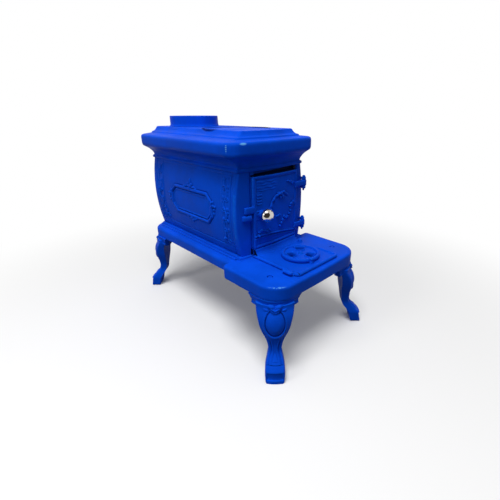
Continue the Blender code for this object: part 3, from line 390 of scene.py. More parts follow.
# Hearth: the front half of the base, a shallow box with a bowed front and full round corners that
# catches ash at the door. One casting, painted blue, with a stepped ledge under the door and a
# counterbored bolt down into each front leg.
def filled(loops, z):
    """A flat face at height z bounded by closed loops of (x, y) points: the first outside, the rest holes."""
    points = np.column_stack([np.vstack(loops), np.full(sum(len(loop) for loop in loops), z)])
    edges, start = [], 0
    for loop in loops:
        i = np.arange(len(loop))
        edges.append(start + np.column_stack([i, np.roll(i, -1)]))
        start += len(loop)
    outline = bpy.data.meshes.new("outline")
    outline.from_pydata(points.tolist(), np.vstack(edges).tolist(), [])
    bm = bmesh.new()
    bm.from_mesh(outline)
    bmesh.ops.triangle_fill(bm, use_beauty=True, use_dissolve=False, edges=bm.edges[:])
    bm.to_mesh(outline)
    bm.free()
    corners = np.empty(len(outline.loops), int)
    outline.loops.foreach_get("vertex_index", corners)
    bpy.data.meshes.remove(outline)
    return points, corners.reshape(-1, 3).tolist()


def circle(x, y, r, count=64):
    """Points round a circle about (x, y)."""
    a = np.linspace(0, 2 * math.pi, count, endpoint=False)
    return np.stack([x + r * np.cos(a), y + r * np.sin(a)], -1)


def wall(loops):
    """A strip down through loops given as (points, height), an open tube."""
    rings = np.stack([np.column_stack([loop, np.full(len(loop), z)]) for loop, z in loops])
    return loft(rings, low=False, high=False)


def round_box(w, y0, y1, rf, rr, edge, corner, side):
    """Closed rings round a box, one for each entry of the half widths w, fronts y0 and rears y1: straight
    edges between quarter circles of radius rf in front and rr behind, from the front left round."""
    t = np.linspace(-1, 1, edge)[None]
    a = np.radians(np.linspace(0, 90, corner))[None]
    s = np.linspace(0, 1, side)[None]
    c, n = np.cos(a), np.sin(a)
    x = np.hstack([(w - rf) * t, w - rf + rf * n, w + 0 * s, w - rr + rr * c, -(w - rr) * t, -(w - rr) - rr * n,
                   -w + 0 * s, -(w - rf) - rf * c])
    y = np.hstack([y0 + 0 * t, y0 + rf - rf * c, y0 + rf + (y1 - rr - y0 - rf) * s, y1 - rr + rr * n, y1 + 0 * t,
                   y1 - rr + rr * c, y1 - rr - (y1 - rr - y0 - rf) * s, y0 + rf - rf * n])
    return x, y


HEARTH_HALF, HEARTH_FRONT, HEARTH_TOP = 189.5, -204.0, 265.5


def hearth_rings(rows):
    """Closed rings of the hearth from rows (inset, height): a rectangle with round front corners,
    bowed forward."""
    inset, z = np.asarray(rows, float).T[:, :, None]
    w = HEARTH_HALF - inset
    x, y = round_box(w, HEARTH_FRONT + inset, 9 - 0.5 * inset, 60 - inset, np.maximum(2.0, 14 - inset), 70, 40, 24)
    y = y - 6.0 * np.maximum(0, 1 - (x / w) ** 2) * np.clip((-60 - y) / 60, 0, 1)
    return np.stack([x, y, z + 0 * x], -1)


def bow(x):
    """How far the swelled front stands forward at x."""
    return 14.0 * np.maximum(0.0, 1.0 - (x / 139.5) ** 2)


hearth_side = rounded([(8, BASE_FOOT), (3.4, BASE_FOOT), (0.8, 226), (0, 229), (0, 236), (0, 250), (0, 257.5),
                       (0.7, 261), (2.6, 263.6), (6, 265.0), (9.5, HEARTH_TOP), (12, HEARTH_TOP)])
top_edge, inner_edge = hearth_rings([(13, HEARTH_TOP), (12, HEARTH_TOP)])
apart = np.abs(np.roll(top_edge, -1, 0) - top_edge).sum(1) > 1e-6
outer, inner = top_edge[apart][:, :2], inner_edge[apart][:, :2]
bolt_spots = [(-140.9, -137.0), (140.9, -137.0)]
opening = np.array([(-80, -181), (80, -181), (80, -53), (-80, -53)], float)
box_low = np.array([(-118, -196), (118, -196), (118, 8.5), (-118, 8.5)], float)
hearth_parts = [loft(hearth_rings(np.vstack([[(8, 257.5)], hearth_side])), high=False),
                wall([(outer, HEARTH_TOP), (inner, HEARTH_TOP)]),
                filled([outer, opening] + [circle(x, y, 8.5, 40) for x, y in bolt_spots], HEARTH_TOP),
                wall([(opening, HEARTH_TOP), (opening, 258.5)])]
for x, y in bolt_spots:
    seat = circle(x, y, 8.5, 40)
    hearth_parts += [wall([(seat, HEARTH_TOP), (seat, 261.5)]), filled([seat], 261.5)]
hearth_parts += [wall([(box_low, BASE_FOOT), (box_low, 257.5)]), filled([box_low], BASE_FOOT)]
ledge_rows = rounded([(-2, 264.5), (-2, BASE_TOP), (4.5, BASE_TOP), (7.2, 273.4), (8.2, 271.8), (8.4, 269.4),
                      (9.0, 267.6), (11.5, 266.8), (12.4, 264.5)])
d, z = ledge_rows.T[:, None, :]
for left, right in ((-136.5, -94.6), (-87.2, 136.5)):
    u = np.linspace(left, right, 80)[:, None]
    hearth_parts.append(loft(np.stack([u + 0 * d, np.where(d > 0, -bow(u) - d, 8.5 + 0 * u), z + 0 * u], -1)))
build("hearth_casting", "stove_body", paint, hearth_parts, ("hearth",))


# Legs: four cabriole castings, each hooked and bolted under a corner. The knee carries an oval
# cartouche below a small shell, the ankle is fluted, and the foot is a stepped block.
# Stations up the leg: how far its face stands out, half width, depth, height and crown of the face.
LEG_ROWS = [(56, 21, 31, 0, 2), (56, 23.5, 33, 0.6, 2), (56, 25.4, 35, 4, 3), (55.2, 26, 35.4, 9, 3.5),
            (53.6, 26.4, 35.8, 16, 4), (52.6, 26.8, 36, 24, 4), (50.6, 27, 36, 31, 4), (48.4, 27, 36, 36, 4),
            (45.2, 26.4, 35.6, 40.5, 4), (41, 25.2, 35, 45.5, 4), (34, 23.2, 33, 54, 4), (24, 21, 31, 62, 4),
            (17.6, 19.2, 29, 69, 4), (13, 18, 27, 76, 4), (10.4, 19, 26, 86, 4), (10.3, 20.6, 28, 97, 4.6),
            (11.8, 24, 31, 109, 6.2), (15, 29.4, 36.5, 122, 8.6), (18.2, 35.6, 41.4, 136, 11.2),
            (19.7, 40.8, 43.4, 151, 13.6), (18.6, 44.6, 44, 167, 16), (13.2, 48.3, 42, 184, 18),
            (6.6, 50.2, 38, 196, 19), (3.6, 50.8, 35, 204, 19), (2.6, 50.8, 34, 212, 19)]


def bump_at(u, v, cu, cv, ru, rv, height):
    """A rounded mound of the given height on an ellipse about (cu, cv)."""
    return height * np.sqrt(np.clip(1 - ((u - cu) / ru) ** 2 - ((v - cv) / rv) ** 2, 0, 1))


def bead(distance, half, height):
    """A half-round bead along the line where distance is nought."""
    return height * np.sqrt(np.clip(1 - (distance / half) ** 2, 0, 1))


def step(value, low, high):
    """A smooth step from 0 at low to 1 at high."""
    t = np.clip((value - low) / (high - low), 0, 1)
    return t * t * (3 - 2 * t)


def knee_relief(u, z):
    """Relief of the leg's outer face: groove, dome and rim of the oval, flutes, and the foot's steps."""
    ring = np.hypot(u / 25.5, (z - 165) / 36.0)
    away = (ring - 1.0) * 29.0
    h = -bead(away, 2.3, 2.4) + 3.0 * step(-away, 0, 16)
    h += bead(away - 5.2, 3.2, 1.6 + 2.2 * step(160 - z, 0, 30)) * step(z, 116, 122) * (1 - step(z, 194, 200))
    low = (1 - step(z, 100, 118)) * step(z, 47, 51)
    spread = 5.4 + 8.4 * (1 - step(z, 48, 80)) + 4.5 * step(z, 84, 112)
    h += low * (bead(np.abs(u) - spread, 2.0, 2.6) - bead(np.abs(u) - spread - 4.0, 2.0, 2.2))
    h += 1.6 * low * (1 - step(np.abs(u), spread - 3.0, spread - 1.0)) * (1 - step(z, 70, 100))
    inner = np.minimum(spread - 4.6 - np.abs(u), z - 54)
    h -= low * bead(inner, 1.3, 1.3) * (1 - step(z, 74, 84))
    h -= bead(z - 47.5, 1.6, 2.4) * (1 - step(np.abs(u), 21, 24))
    nose = step(z, 33, 34.5) * (1 - step(z, 34.5, 46.5))
    h += 3.6 * nose * (1 - step(np.abs(u), 22, 25.5))
    toe = step(z, 9, 12) * (1 - step(z, 32.5, 34)) * (1 - step(np.abs(u), 21, 24))
    return h - (1.2 + 2.6 * step(33 - z, 0, 20)) * toe


def leg_parts():
    """The leg in its own frame: s outward, t across, z up; crowned face, straight sides and flat back,
    a collar bowed over the knee, and the shell's mounds on it."""
    rows = rounded(LEG_ROWS, 1)
    fine = np.linspace(0, len(rows) - 1, 240)
    s, w, depth, z, crown = (np.interp(fine, np.arange(len(rows)), c)[:, None] for c in rows.T)
    lean = 0.5 * math.pi * 0.93
    t = np.sin(np.linspace(-1, 1, 72) * lean)[None] / math.sin(lean)
    face_s = s - crown * t * t - 1.6 * np.clip(np.abs(t) - 0.94, 0, 1) / 0.06 + knee_relief(w * t, z)
    face_t = w * t
    tip = np.linspace(0, 1, 6)[1:][None]
    right_s = face_s[:, -1:] + (s - depth - face_s[:, -1:]) * tip
    left_s = right_s[:, ::-1]
    S = np.hstack([face_s, right_s, left_s])
    T = np.hstack([face_t, w + 0 * right_s, -w + 0 * left_s])
    leg = loft(np.stack([S, T, z + 0 * S], -1))
    cap_rows = rounded([(-6, -4, 193), (-3.4, -1, 194.6), (-1.2, 0.6, 196.4), (-0.6, 1.4, 199), (-1.6, 0.8, 201.4),
                        (-2.8, 0.6, 204), (-2.8, 0.8, 207.4), (-2.2, 1.6, 210), (-1.0, 3.0, 212.4),
                        (-0.4, 4.2, 214), (-1.0, 4.6, 215.4), (-0.8, 6.2, 217.6), (0.2, 8.4, 220),
                        (0.5, 9.4, 222.6), (0.5, 9.5, 224.7)])
    ds, dw, z = cap_rows.T[:, :, None]
    a = np.radians(np.linspace(-46, 46, 61))[None]
    r = 60 + ds
    arc_s, arc_t = ds - r + r * np.cos(a), r * np.sin(a)
    width = 62 + dw
    run = width - arc_t[:, -1:]
    end = arc_s[:, -1:] - run
    S = np.hstack([arc_s, end, end - 12, end - 12, end])
    T = np.hstack([arc_t, width, width - 12, 12 - width, -width])
    cap = loft(np.stack([S, T, z + 0 * S], -1))
    rho = np.linspace(1, 0, 34)[:, None]
    q = np.linspace(0, 2 * math.pi, 96, endpoint=False)[None]
    parts = [leg, cap]
    shell = [(-9.4, 210, 9.4, 7.0, 2.0, 7.4, 0), (9.4, 210, 9.4, 7.0, 2.0, 7.4, 0),
             (0, 203.0, 16.5, 9.6, 2.0, 9.0, 1), (-22, 200, 9.0, 4.2, -0.6, 6.8, 0),
             (22, 200, 9.0, 4.2, -0.6, 6.8, 0), (0, 195.4, 5.4, 4.4, 4.4, 5.6, 0)]
    for cu, cz, ru, rz, base, high, folds in shell:
        U = cu + ru * rho * np.cos(q)
        Z = cz + rz * rho * np.sin(q) + (0.42 * np.abs(U) - 3.0 if folds else 0.16 * (np.abs(U) - abs(cu)))
        dome = np.sqrt(np.clip(1 - rho ** 2, 0, 1))
        wave = 1 + 0.30 * folds * np.cos(2 * math.pi * (Z - 0.42 * np.abs(U) - cz) / 6.4)
        S = base + high * dome * wave - 0.004 * U * U
        parts.append(loft(np.stack([S, U, Z], -1)))
    return parts


FRONT_CORNER, REAR_CORNER = (171.927, -186.427), (146.113, 484.613)
for place, sx, sy, corner in (("front_left", -1, 1, FRONT_CORNER), ("front_right", 1, 1, FRONT_CORNER),
                              ("rear_left", -1, -1, REAR_CORNER), ("rear_right", 1, -1, REAR_CORNER)):
    parts = []
    for points, faces in leg_parts():
        s, t, z = points.T
        x = sx * (corner[0] + (s + t) * math.sqrt(0.5))
        y = corner[1] + sy * (t - s) * math.sqrt(0.5)
        parts.append((np.stack([x, y, z], -1), faces))
    build("leg_casting_" + place, "stove_body", paint, parts, ("leg_" + place,))


# Side panels: two swelled castings between front and back. Each has a scrolled strip by the front
# corner and by the rear one, and a long octagonal cartouche with a crest, all in low relief.
SIDE_FRONT, SIDE_REAR = 8.3, 454.7
CARTOUCHE_Y, CARTOUCHE_Z = 226.5, 393.75


def body_half(z):
    """Half width of the swelled sides at height z: a parabola that stands 15 mm out at mid height."""
    t = (z - BODY_FOOT) / (BODY_HEAD - BODY_FOOT)
    return BODY_HALF + 60.0 * t * (1.0 - t)


def mounds(u, v, spots, height):
    """The highest of some rounded mounds of one height, each given by its centre and half widths."""
    return np.maximum.reduce([bump_at(u, v, *spot, height) for spot in spots])


def scrolls(y, z):
    """A climbing vine: a waved stem with a ring-shaped curl and a leaf in each bend."""
    pitch = 31.0
    phase = (z - 300.0) / pitch
    turn = np.where(np.floor(phase) % 2 == 0, 1.0, -1.0)
    v = (phase - np.floor(phase) - 0.5) * pitch
    stem = bead(y - 5.2 * np.cos(math.pi * phase), 1.5, 1.2)
    curl = bead(np.hypot(y + 4.4 * turn, v) - 5.0, 1.5, 1.15)
    bud = bump_at(y, v, -4.4 * turn, 0, 2.2, 2.2, 1.3)
    leaf = bump_at(y, v, 7.4 * turn, 3.6, 4.2, 6.0, 1.15) + bump_at(y, v, 8.4 * turn, -6.4, 3.4, 4.4, 0.9)
    return np.maximum.reduce([stem, curl, bud, leaf])


def octagon(y, z):
    """Distance outside the cartouche's long octagon, negative inside: the farthest of its sides."""
    a = np.abs(y)
    return np.maximum.reduce([z - 47, -z - 46, a - 119, 0.648 * a + 0.761 * z - 95.4, 0.694 * a - 0.720 * z - 97.0])


def side_relief(y, z):
    """Relief of a side panel at y along it and z up it, outward positive: a sunk field between beads,
    a vine by either end, the cartouche's band and rims, and mounds round it that mirror about its middle."""
    y, z = np.broadcast_arrays(y, z)
    edge_line = np.minimum(y - SIDE_FRONT, SIDE_REAR - y)
    c = z - CARTOUCHE_Z
    m = y - CARTOUCHE_Y
    field = step(edge_line, 53.0, 55.0) * step(z, 296, 298) * (1 - step(z, 503, 505))
    h = -1.0 * field
    h += bead(edge_line - 54.0, 1.6, 0.9) - bead(edge_line - 11.2, 1.1, 1.4) + bead(edge_line - 13.8, 1.3, 1.0)
    h -= bead(z - 299.5, 1.4, 1.0) + bead(z - 504.5, 1.2, 0.8)
    h += bead(z - 296.0, 1.6, 0.5)
    h -= 2.6 * (1 - step(z, 276.5, 278.5))
    strip = step(edge_line, 16, 19) * (1 - step(edge_line, 50, 52)) * step(z, 303, 308) * (1 - step(z, 494, 500))
    h += strip * scrolls((edge_line - 34.0) / 1.35, z) * (1.6 + 1.4 * np.cos((z - 393) / 34.0) ** 2)
    d = octagon(m, c)
    h += bead(d + 3.4, 5.0, 4.2) - bead(d + 10.4, 2.4, 1.7) + bead(d + 13.6, 1.6, 1.1) - bead(d - 3.0, 1.6, 1.3)
    h -= 0.8 * step(-d, 15, 17)
    side = np.abs(m)
    crest = [(0, 68, 6.5, 10), (0, 54, 13, 8), (9, 60, 6, 5.5), (21, 53, 9, 4.4), (33, 50, 6, 3), (0, -52, 13, 7),
             (0, -59, 6, 6), (12, -52, 7, 4.4), (24, -49, 7, 3), (124, 14, 7, 6), (130, 4, 5, 5), (127, -8, 4.4, 5.5),
             (122, 25, 4.4, 5), (134, 14, 4, 4)]
    spray = [(172, -73, 6, 5), (176, -62, 4.4, 7), (166, -79, 7, 3.6), (180, -50, 3, 5)]
    h = h + mounds(side, c, crest, 4.6) + mounds(side, c, spray, 3.4)
    return h + bead(np.hypot(side - 208, c + 82) - 6.5, 1.6, 1.2)


def panel(front, back_rows):
    """A closed slab: a detailed front grid (u, v) and a plain back that is straight along v."""
    nu, nv = front.shape[:2]
    points = np.vstack([front.reshape(-1, 3), back_rows.reshape(-1, 3)])
    faces = grid_faces(nu, nv).tolist()
    start = nu * nv
    i = np.arange(nu - 1)
    first, last = start + 2 * i, start + 2 * i + 1
    faces += np.stack([first, first + 2, last + 2, last], -1)[:, ::-1].tolist()
    faces += np.stack([i * nv, first, first + 2, (i + 1) * nv], -1).tolist()
    faces += np.stack([i * nv + nv - 1, (i + 1) * nv + nv - 1, last + 2, last], -1).tolist()
    faces.append(list(range(nv)) + [start + 1, start])
    faces.append((list(range((nu - 1) * nv, nu * nv)) + [start + 2 * nu - 1, start + 2 * nu - 2])[::-1])
    return points, faces


SEAM = 0.3
z = np.linspace(BODY_FOOT + SEAM, BODY_HEAD - SEAM, 172)[:, None]
y = np.linspace(SIDE_FRONT, SIDE_REAR, 318)[None, :]
ends = np.array([SIDE_FRONT, SIDE_REAR])[None, :]
swell = body_half(z)
for hand, sign in (("left", -1), ("right", 1)):
    front = np.stack([sign * (swell - 0.05 + side_relief(y, z)), y + 0 * z, z + 0 * y], -1)
    back = np.stack([sign * (swell - 6.0) + 0 * ends, ends + 0 * z, z + 0 * ends], -1)
    build("side_casting_" + hand, "stove_body", paint, [panel(front, back)], ("side_" + hand,),
          sharp=60)


# Front plate: the bowed casting that closes the body in front. Two raised stiles and a header frame
# the door's opening, with a channel beside the door; the left stile carries the door's rest lug and
# the right one the hinge lugs.
def turned(profile, centre, count=128, axis="z"):
    """A profile of (radius, height) points carried round an axis through centre."""
    r, h = np.asarray(profile, float).T[:, :, None]
    a = np.linspace(0, 2 * math.pi, count, endpoint=False)[None]
    x, y, z = r * np.cos(a), r * np.sin(a), h + 0 * a
    if axis == "y":
        y, z = -z, y
    return np.stack([centre[0] + x, centre[1] + y, centre[2] + z], -1)


def closed_turn(profile, centre, count=128, axis="z"):
    """A turned ring or knob whose profile closes on itself or on the axis."""
    rings = turned(profile, centre, count, axis)
    if profile[0][0] == 0:
        return loft(rings, low=False, high=False)
    faces = grid_faces(len(rings), count, wrap_u=True, wrap_v=True).tolist()
    return rings.reshape(-1, 3), faces


def tab_between(stations, sharpness=0.55, count=40):
    """A rounded bar through stations (x, y, z, half y, half z): each section is a soft-cornered box."""
    rows = rounded(stations, 2)
    cx, cy, cz, hy, hz = rows.T[:, :, None]
    a = np.linspace(0, 2 * math.pi, count, endpoint=False)[None]
    c, s = np.cos(a), np.sin(a)
    return loft(np.stack([cx + 0 * a, cy + hy * np.sign(c) * np.abs(c) ** sharpness,
                          cz + hz * np.sign(s) * np.abs(s) ** sharpness], -1))


def round_off(distance, radius):
    """How far a rounded edge falls away at a distance in from it, as a share of its radius: 1 at the
    edge and 0 from the radius on, along a quarter circle."""
    return 1 - np.sqrt(np.clip(1 - (1 - np.clip(distance / radius, 0, 1)) ** 2, 0, 1))


def slab(front, back):
    """A closed bar between a front and a back grid (u, v), lofted along v."""
    return loft(np.concatenate([front, back[::-1]], 0).transpose(1, 0, 2))


front_parts = []
z = np.linspace(BODY_FOOT + SEAM, BODY_HEAD - SEAM, 120)[None, :]
for side, inner, edge in ((-1, 77.0, 86.0), (1, 89.0, 98.0)):
    t = np.linspace(0, 1, 70)[:, None]
    x = side * (inner + t * (body_half(z) - 0.1 - inner))
    away = np.abs(x) - edge
    outer_edge = body_half(z) - np.abs(x)
    lift = 2.8 * step(away, 7.0, 9.0) - 3.2 * step(away, 0.4, 1.6) * (1 - step(away, 5.4, 7.0))
    if side < 0:
        lift -= 7.0 * (1 - step(z, 288, 290)) * step(away, 0.6, 1.4) * (1 - step(away, 6.4, 7.4))
    lift -= 2.0 * round_off(outer_edge, 3) + 1.2 * (1 - step(outer_edge, 0, 2.5))
    front = np.stack([x, -bow(x) - lift, z + 0 * x], -1)
    back = np.stack([x, np.where(np.abs(x) > 110, 8.0, 8.0 - bow(x)), z + 0 * x], -1)
    front_parts.append(slab(front, back))
x = np.linspace(-78, 90, 60)[:, None]
z = np.linspace(493, BODY_HEAD - SEAM, 28)[None, :]
front = np.stack([x + 0 * z, 9.0 * step(z, 501.5, 503) - bow(x), z + 0 * x], -1)
front_parts.append(slab(front, front + (0, 8, 0)))
front_parts.append(tab_between([(-121, -7, 388, 3, 5), (-120, -8.5, 388, 4.5, 7.6), (-116, -10, 388, 6.5, 8.8),
                                (-106, -12.4, 388, 7.6, 9), (-98, -13.2, 388, 8, 9), (-93.5, -12.4, 388, 7, 7.8),
                                (-91, -11.6, 388, 5, 5.4), (-90.6, -11.4, 388, 3, 3)], 0.75, 48))
HINGE_Z, HINGE_PLACE = (324.0, 456.0), (128.5, -18, 0)
for hz in HINGE_Z:
    for low, high in ((hz - 18, hz - 9.4), (hz + 9.4, hz + 18)):
        middle, half = 0.5 * (low + high), 0.5 * (high - low)
        front_parts.append(closed_turn([(3.3, low), (6, low), (6.8, low + 0.6), (7, low + 1.6), (7, high - 1.6),
                                        (6.8, high - 0.6), (6, high), (3.3, high)], HINGE_PLACE, 64))
        front_parts.append(tab_between([(124, 3, middle, 3, half), (124.4, -2, middle, 3.6, half),
                                        (125, -8, middle, 3.8, half), (125.6, -12.6, middle, 2.6, half)], 0.4))
build("front_casting", "stove_body", paint, front_parts, ("front_plate",), sharp=50)


# Back plate: a plain flat casting that closes the body behind. It is bolted up with the sides and
# painted with them, and its solid is shown as it is.
def coat_solid(name, finish):
    """Gives a solid that is shown as it is its finish."""
    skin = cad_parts[name].data.materials
    skin.clear()
    skin.append(finish)


coat_solid("back_plate", paint)


# Top plate: a deep cove under a broad rolled flange, then a small ogee step up to the flat cooking
# surface. One casting, open below, with the round seat of the cooking lid and the flue hole.
def plan(rows):
    """Closed rings round the body from rows (offset outward, height, offset behind, front and rear
    corner radius), bowed in front."""
    out, z, rear, rf, rr = np.asarray(rows, float).T[:, :, None]
    w = BODY_HALF + out
    x, y = round_box(w, -0.57 * out, BODY_REAR + rear, rf, rr, 90, 20, 50)
    pull = (14.0 + 0.06 * out) * np.maximum(0, 1 - (x / (w + 15.0)) ** 2) * (1 - step(y, 100, 230))
    return np.stack([x, y - pull, z + 0 * x], -1)


TOP_Z = 615.0
top_rows = [(-6, 513.5, -2, 3, 3), (0, 513.5, 0, 3, 3), (4.0, 513.9, 1, 3, 3), (6.2, 515.8, 1.6, 3, 3),
            (6.8, 518.6, 1.8, 3, 3), (5.6, 521.4, 1.4, 3, 3), (2.6, 523.2, 0.8, 3, 3), (0.6, 524.4, 0.6, 3, 3),
            (0.6, 527, 0.8, 3, 3), (2.2, 531, 1.2, 4, 4), (4.6, 534.2, 1.6, 5, 4.6), (8.4, 538.6, 2.3, 7, 5.6),
            (15, 544.2, 3.4, 12, 8), (22.5, 548.8, 4.4, 17, 10.6), (30, 552.4, 5.4, 22, 13.4),
            (35.5, 555.2, 6, 26, 15), (38.8, 558.6, 6.5, 28.6, 16.6), (40.3, 562.8, 6.9, 30.4, 17.8),
            (40.5, 568, 7, 31, 18), (40.5, 576, 7, 31, 18), (40.4, 582, 7, 31, 18), (39.6, 586.4, 6.8, 30.6, 17.6),
            (37.4, 589.6, 6.4, 29, 17), (33.4, 591.6, 6, 27, 16), (28, 592.6, 5.8, 24, 14.6),
            (16, 593.8, 5.4, 18, 12), (5, 594.8, 5, 12, 10), (0.4, 595.2, 4.7, 9, 8), (-2.2, 596.2, 4.6, 8, 8),
            (-3.2, 598, 4.5, 7, 7), (-4.6, 599.6, 4.4, 7, 7), (-8, 600.4, 4.1, 6, 6), (-11.5, 601.4, 4, 6, 6),
            (-14.4, 603, 3.7, 6, 6), (-17, 605.4, 3.5, 6, 6), (-19.6, 608.2, 3.2, 6, 6), (-21.6, 611.2, 3, 6, 6),
            (-23.4, 613.6, 2.8, 6, 6), (-25.2, 614.8, 2.5, 6, 6), (-27.4, TOP_Z, 2.4, 6, 6), (-29, TOP_Z, 2.4, 6, 6)]
inner_rows = [(-38, 606.5, -5, 3, 3), (-24, 598, -5, 3, 3), (-12, 592, -4, 3, 3), (0, 588, -3, 6, 4),
              (29, 585, -1, 20, 11), (33.5, 581, 0, 24, 13), (33.5, 569, 0, 24, 13), (28, 562, -1, 20, 11),
              (20, 556, -2, 13, 9), (9, 550, -4, 6, 5), (0, 541, -5, 4, 4), (-5, 532, -6, 3, 3),
              (-6, 513.5, -6, 3, 3)]


def weld_loop(ring):
    """A ring's (x, y) points without those that lie on the one before."""
    return ring[np.abs(np.roll(ring, -1, 0) - ring).sum(1) > 1e-6][:, :2]


FLUE_Y = 378.5
lip, lip_foot, seat, bore = (circle(0, LID_Y, r, 160) for r in (105.2, 104.3, 104, 98))
flue = circle(0, FLUE_Y, 74, 128)
fine_top = rounded(top_rows, 1)
foot_outer, foot_inner = (weld_loop(ring) for ring in plan([top_rows[0], inner_rows[-1]]))
top_parts = [loft(plan(fine_top), low=False, high=False), loft(plan(inner_rows), low=False, high=False),
             filled([weld_loop(plan(fine_top[-1:])[0]), lip, flue], TOP_Z),
             filled([weld_loop(plan(inner_rows[:1])[0]), bore, flue], 606.5),
             wall([(lip, TOP_Z), (lip_foot, 614.6), (seat, 613.4), (seat, 610.8), (bore, 610.8), (bore, 606.5)]),
             wall([(flue, TOP_Z), (flue, 606.5)]), wall([(foot_outer, BODY_HEAD), (foot_inner, BODY_HEAD)])]
build("top_casting", "stove_body", paint, top_parts, ("top_plate",), sharp=50)


# Flue collar: a short cast ring bolted over the flue hole from two ears inside it; the stove pipe
# goes down into it. Its rim is rounded by wear and painted.
collar_profile = rounded([(76, 617), (76, 645.6), (76.4, 646.8), (77.4, 647.3), (79.6, 647.3), (80.6, 646.8),
                          (81, 645.6), (81.1, 640), (81.3, 630), (81.5, 622.5), (82.2, 619.6), (83.2, 617.6),
                          (83.6, 615.9), (83.6, 615.3), (76, 615.3), (76, 616)])
collar_parts = [closed_turn(collar_profile, (0, FLUE_Y, 0), 160)]
ear = np.linspace(58.5, 78, 24)
half = np.sqrt(np.clip(81 - (np.clip(67.5 - ear, 0, 9)) ** 2, 0.2, 81))
for side in (-1, 1):
    loop = np.column_stack([side * np.r_[ear, ear[::-1]], np.r_[FLUE_Y - half, FLUE_Y + half[::-1]]])
    collar_parts += [wall([(loop, 615.3), (loop, 620.6)]), filled([loop], 615.3), filled([loop], 620.6)]
build("collar_casting", "stove_body", paint, collar_parts, ("flue_collar",))


# Cooking lid: a round cast plate that drops flush into its seat over the fire, with a pocket near
# its edge for the lifting handle.
bend = np.radians(np.r_[np.linspace(-90, 90, 13), np.linspace(90, 270, 13)])


def slot(grow):
    """The pocket's outline, widened by grow and turned to the lid's left front edge."""
    u = np.repeat((11.5, -11.5), 13) + (5.5 + grow) * np.cos(bend)
    v = (6.5 + grow) * np.sin(bend) - 67.0
    return np.stack([(u + v) * math.sqrt(0.5), LID_Y + (v - u) * math.sqrt(0.5)], -1)


face, under = 612.8, 605.2
rim, inner_round, outer_round, edge, shoulder, plug = (circle(0, LID_Y, r, 160)
                                                       for r in (100.4, 102.0, 103.1, 103.5, 97.4, 97))
lid_parts = [wall([(rim, face), (inner_round, face - 0.3), (outer_round, face - 0.9), (edge, face - 1.3),
                   (edge, 611.2), (shoulder, 611.2), (plug, under)]),
             filled([rim, slot(1.6)], face), filled([plug], under),
             wall([(slot(1.6), face), (slot(0.6), face - 0.5), (slot(0), face - 1.6), (slot(-0.4), 608.4)]),
             filled([slot(-0.4)], 608.4)]
build("lid_casting", "lid", paint, lid_parts, ("cooking_lid",))


# Door: a bowed casting hung on two pins at the right. A rounded border frames low ornament: an oval
# wreath, ladder ribs, a small plate by the knob and a curved moulding below.
DOOR_LEFT, DOOR_RIGHT, DOOR_FOOT, DOOR_HEAD = -85.0, 97.0, 290.0, 501.0
KNOB_PLACE = (-59, 0, 394)


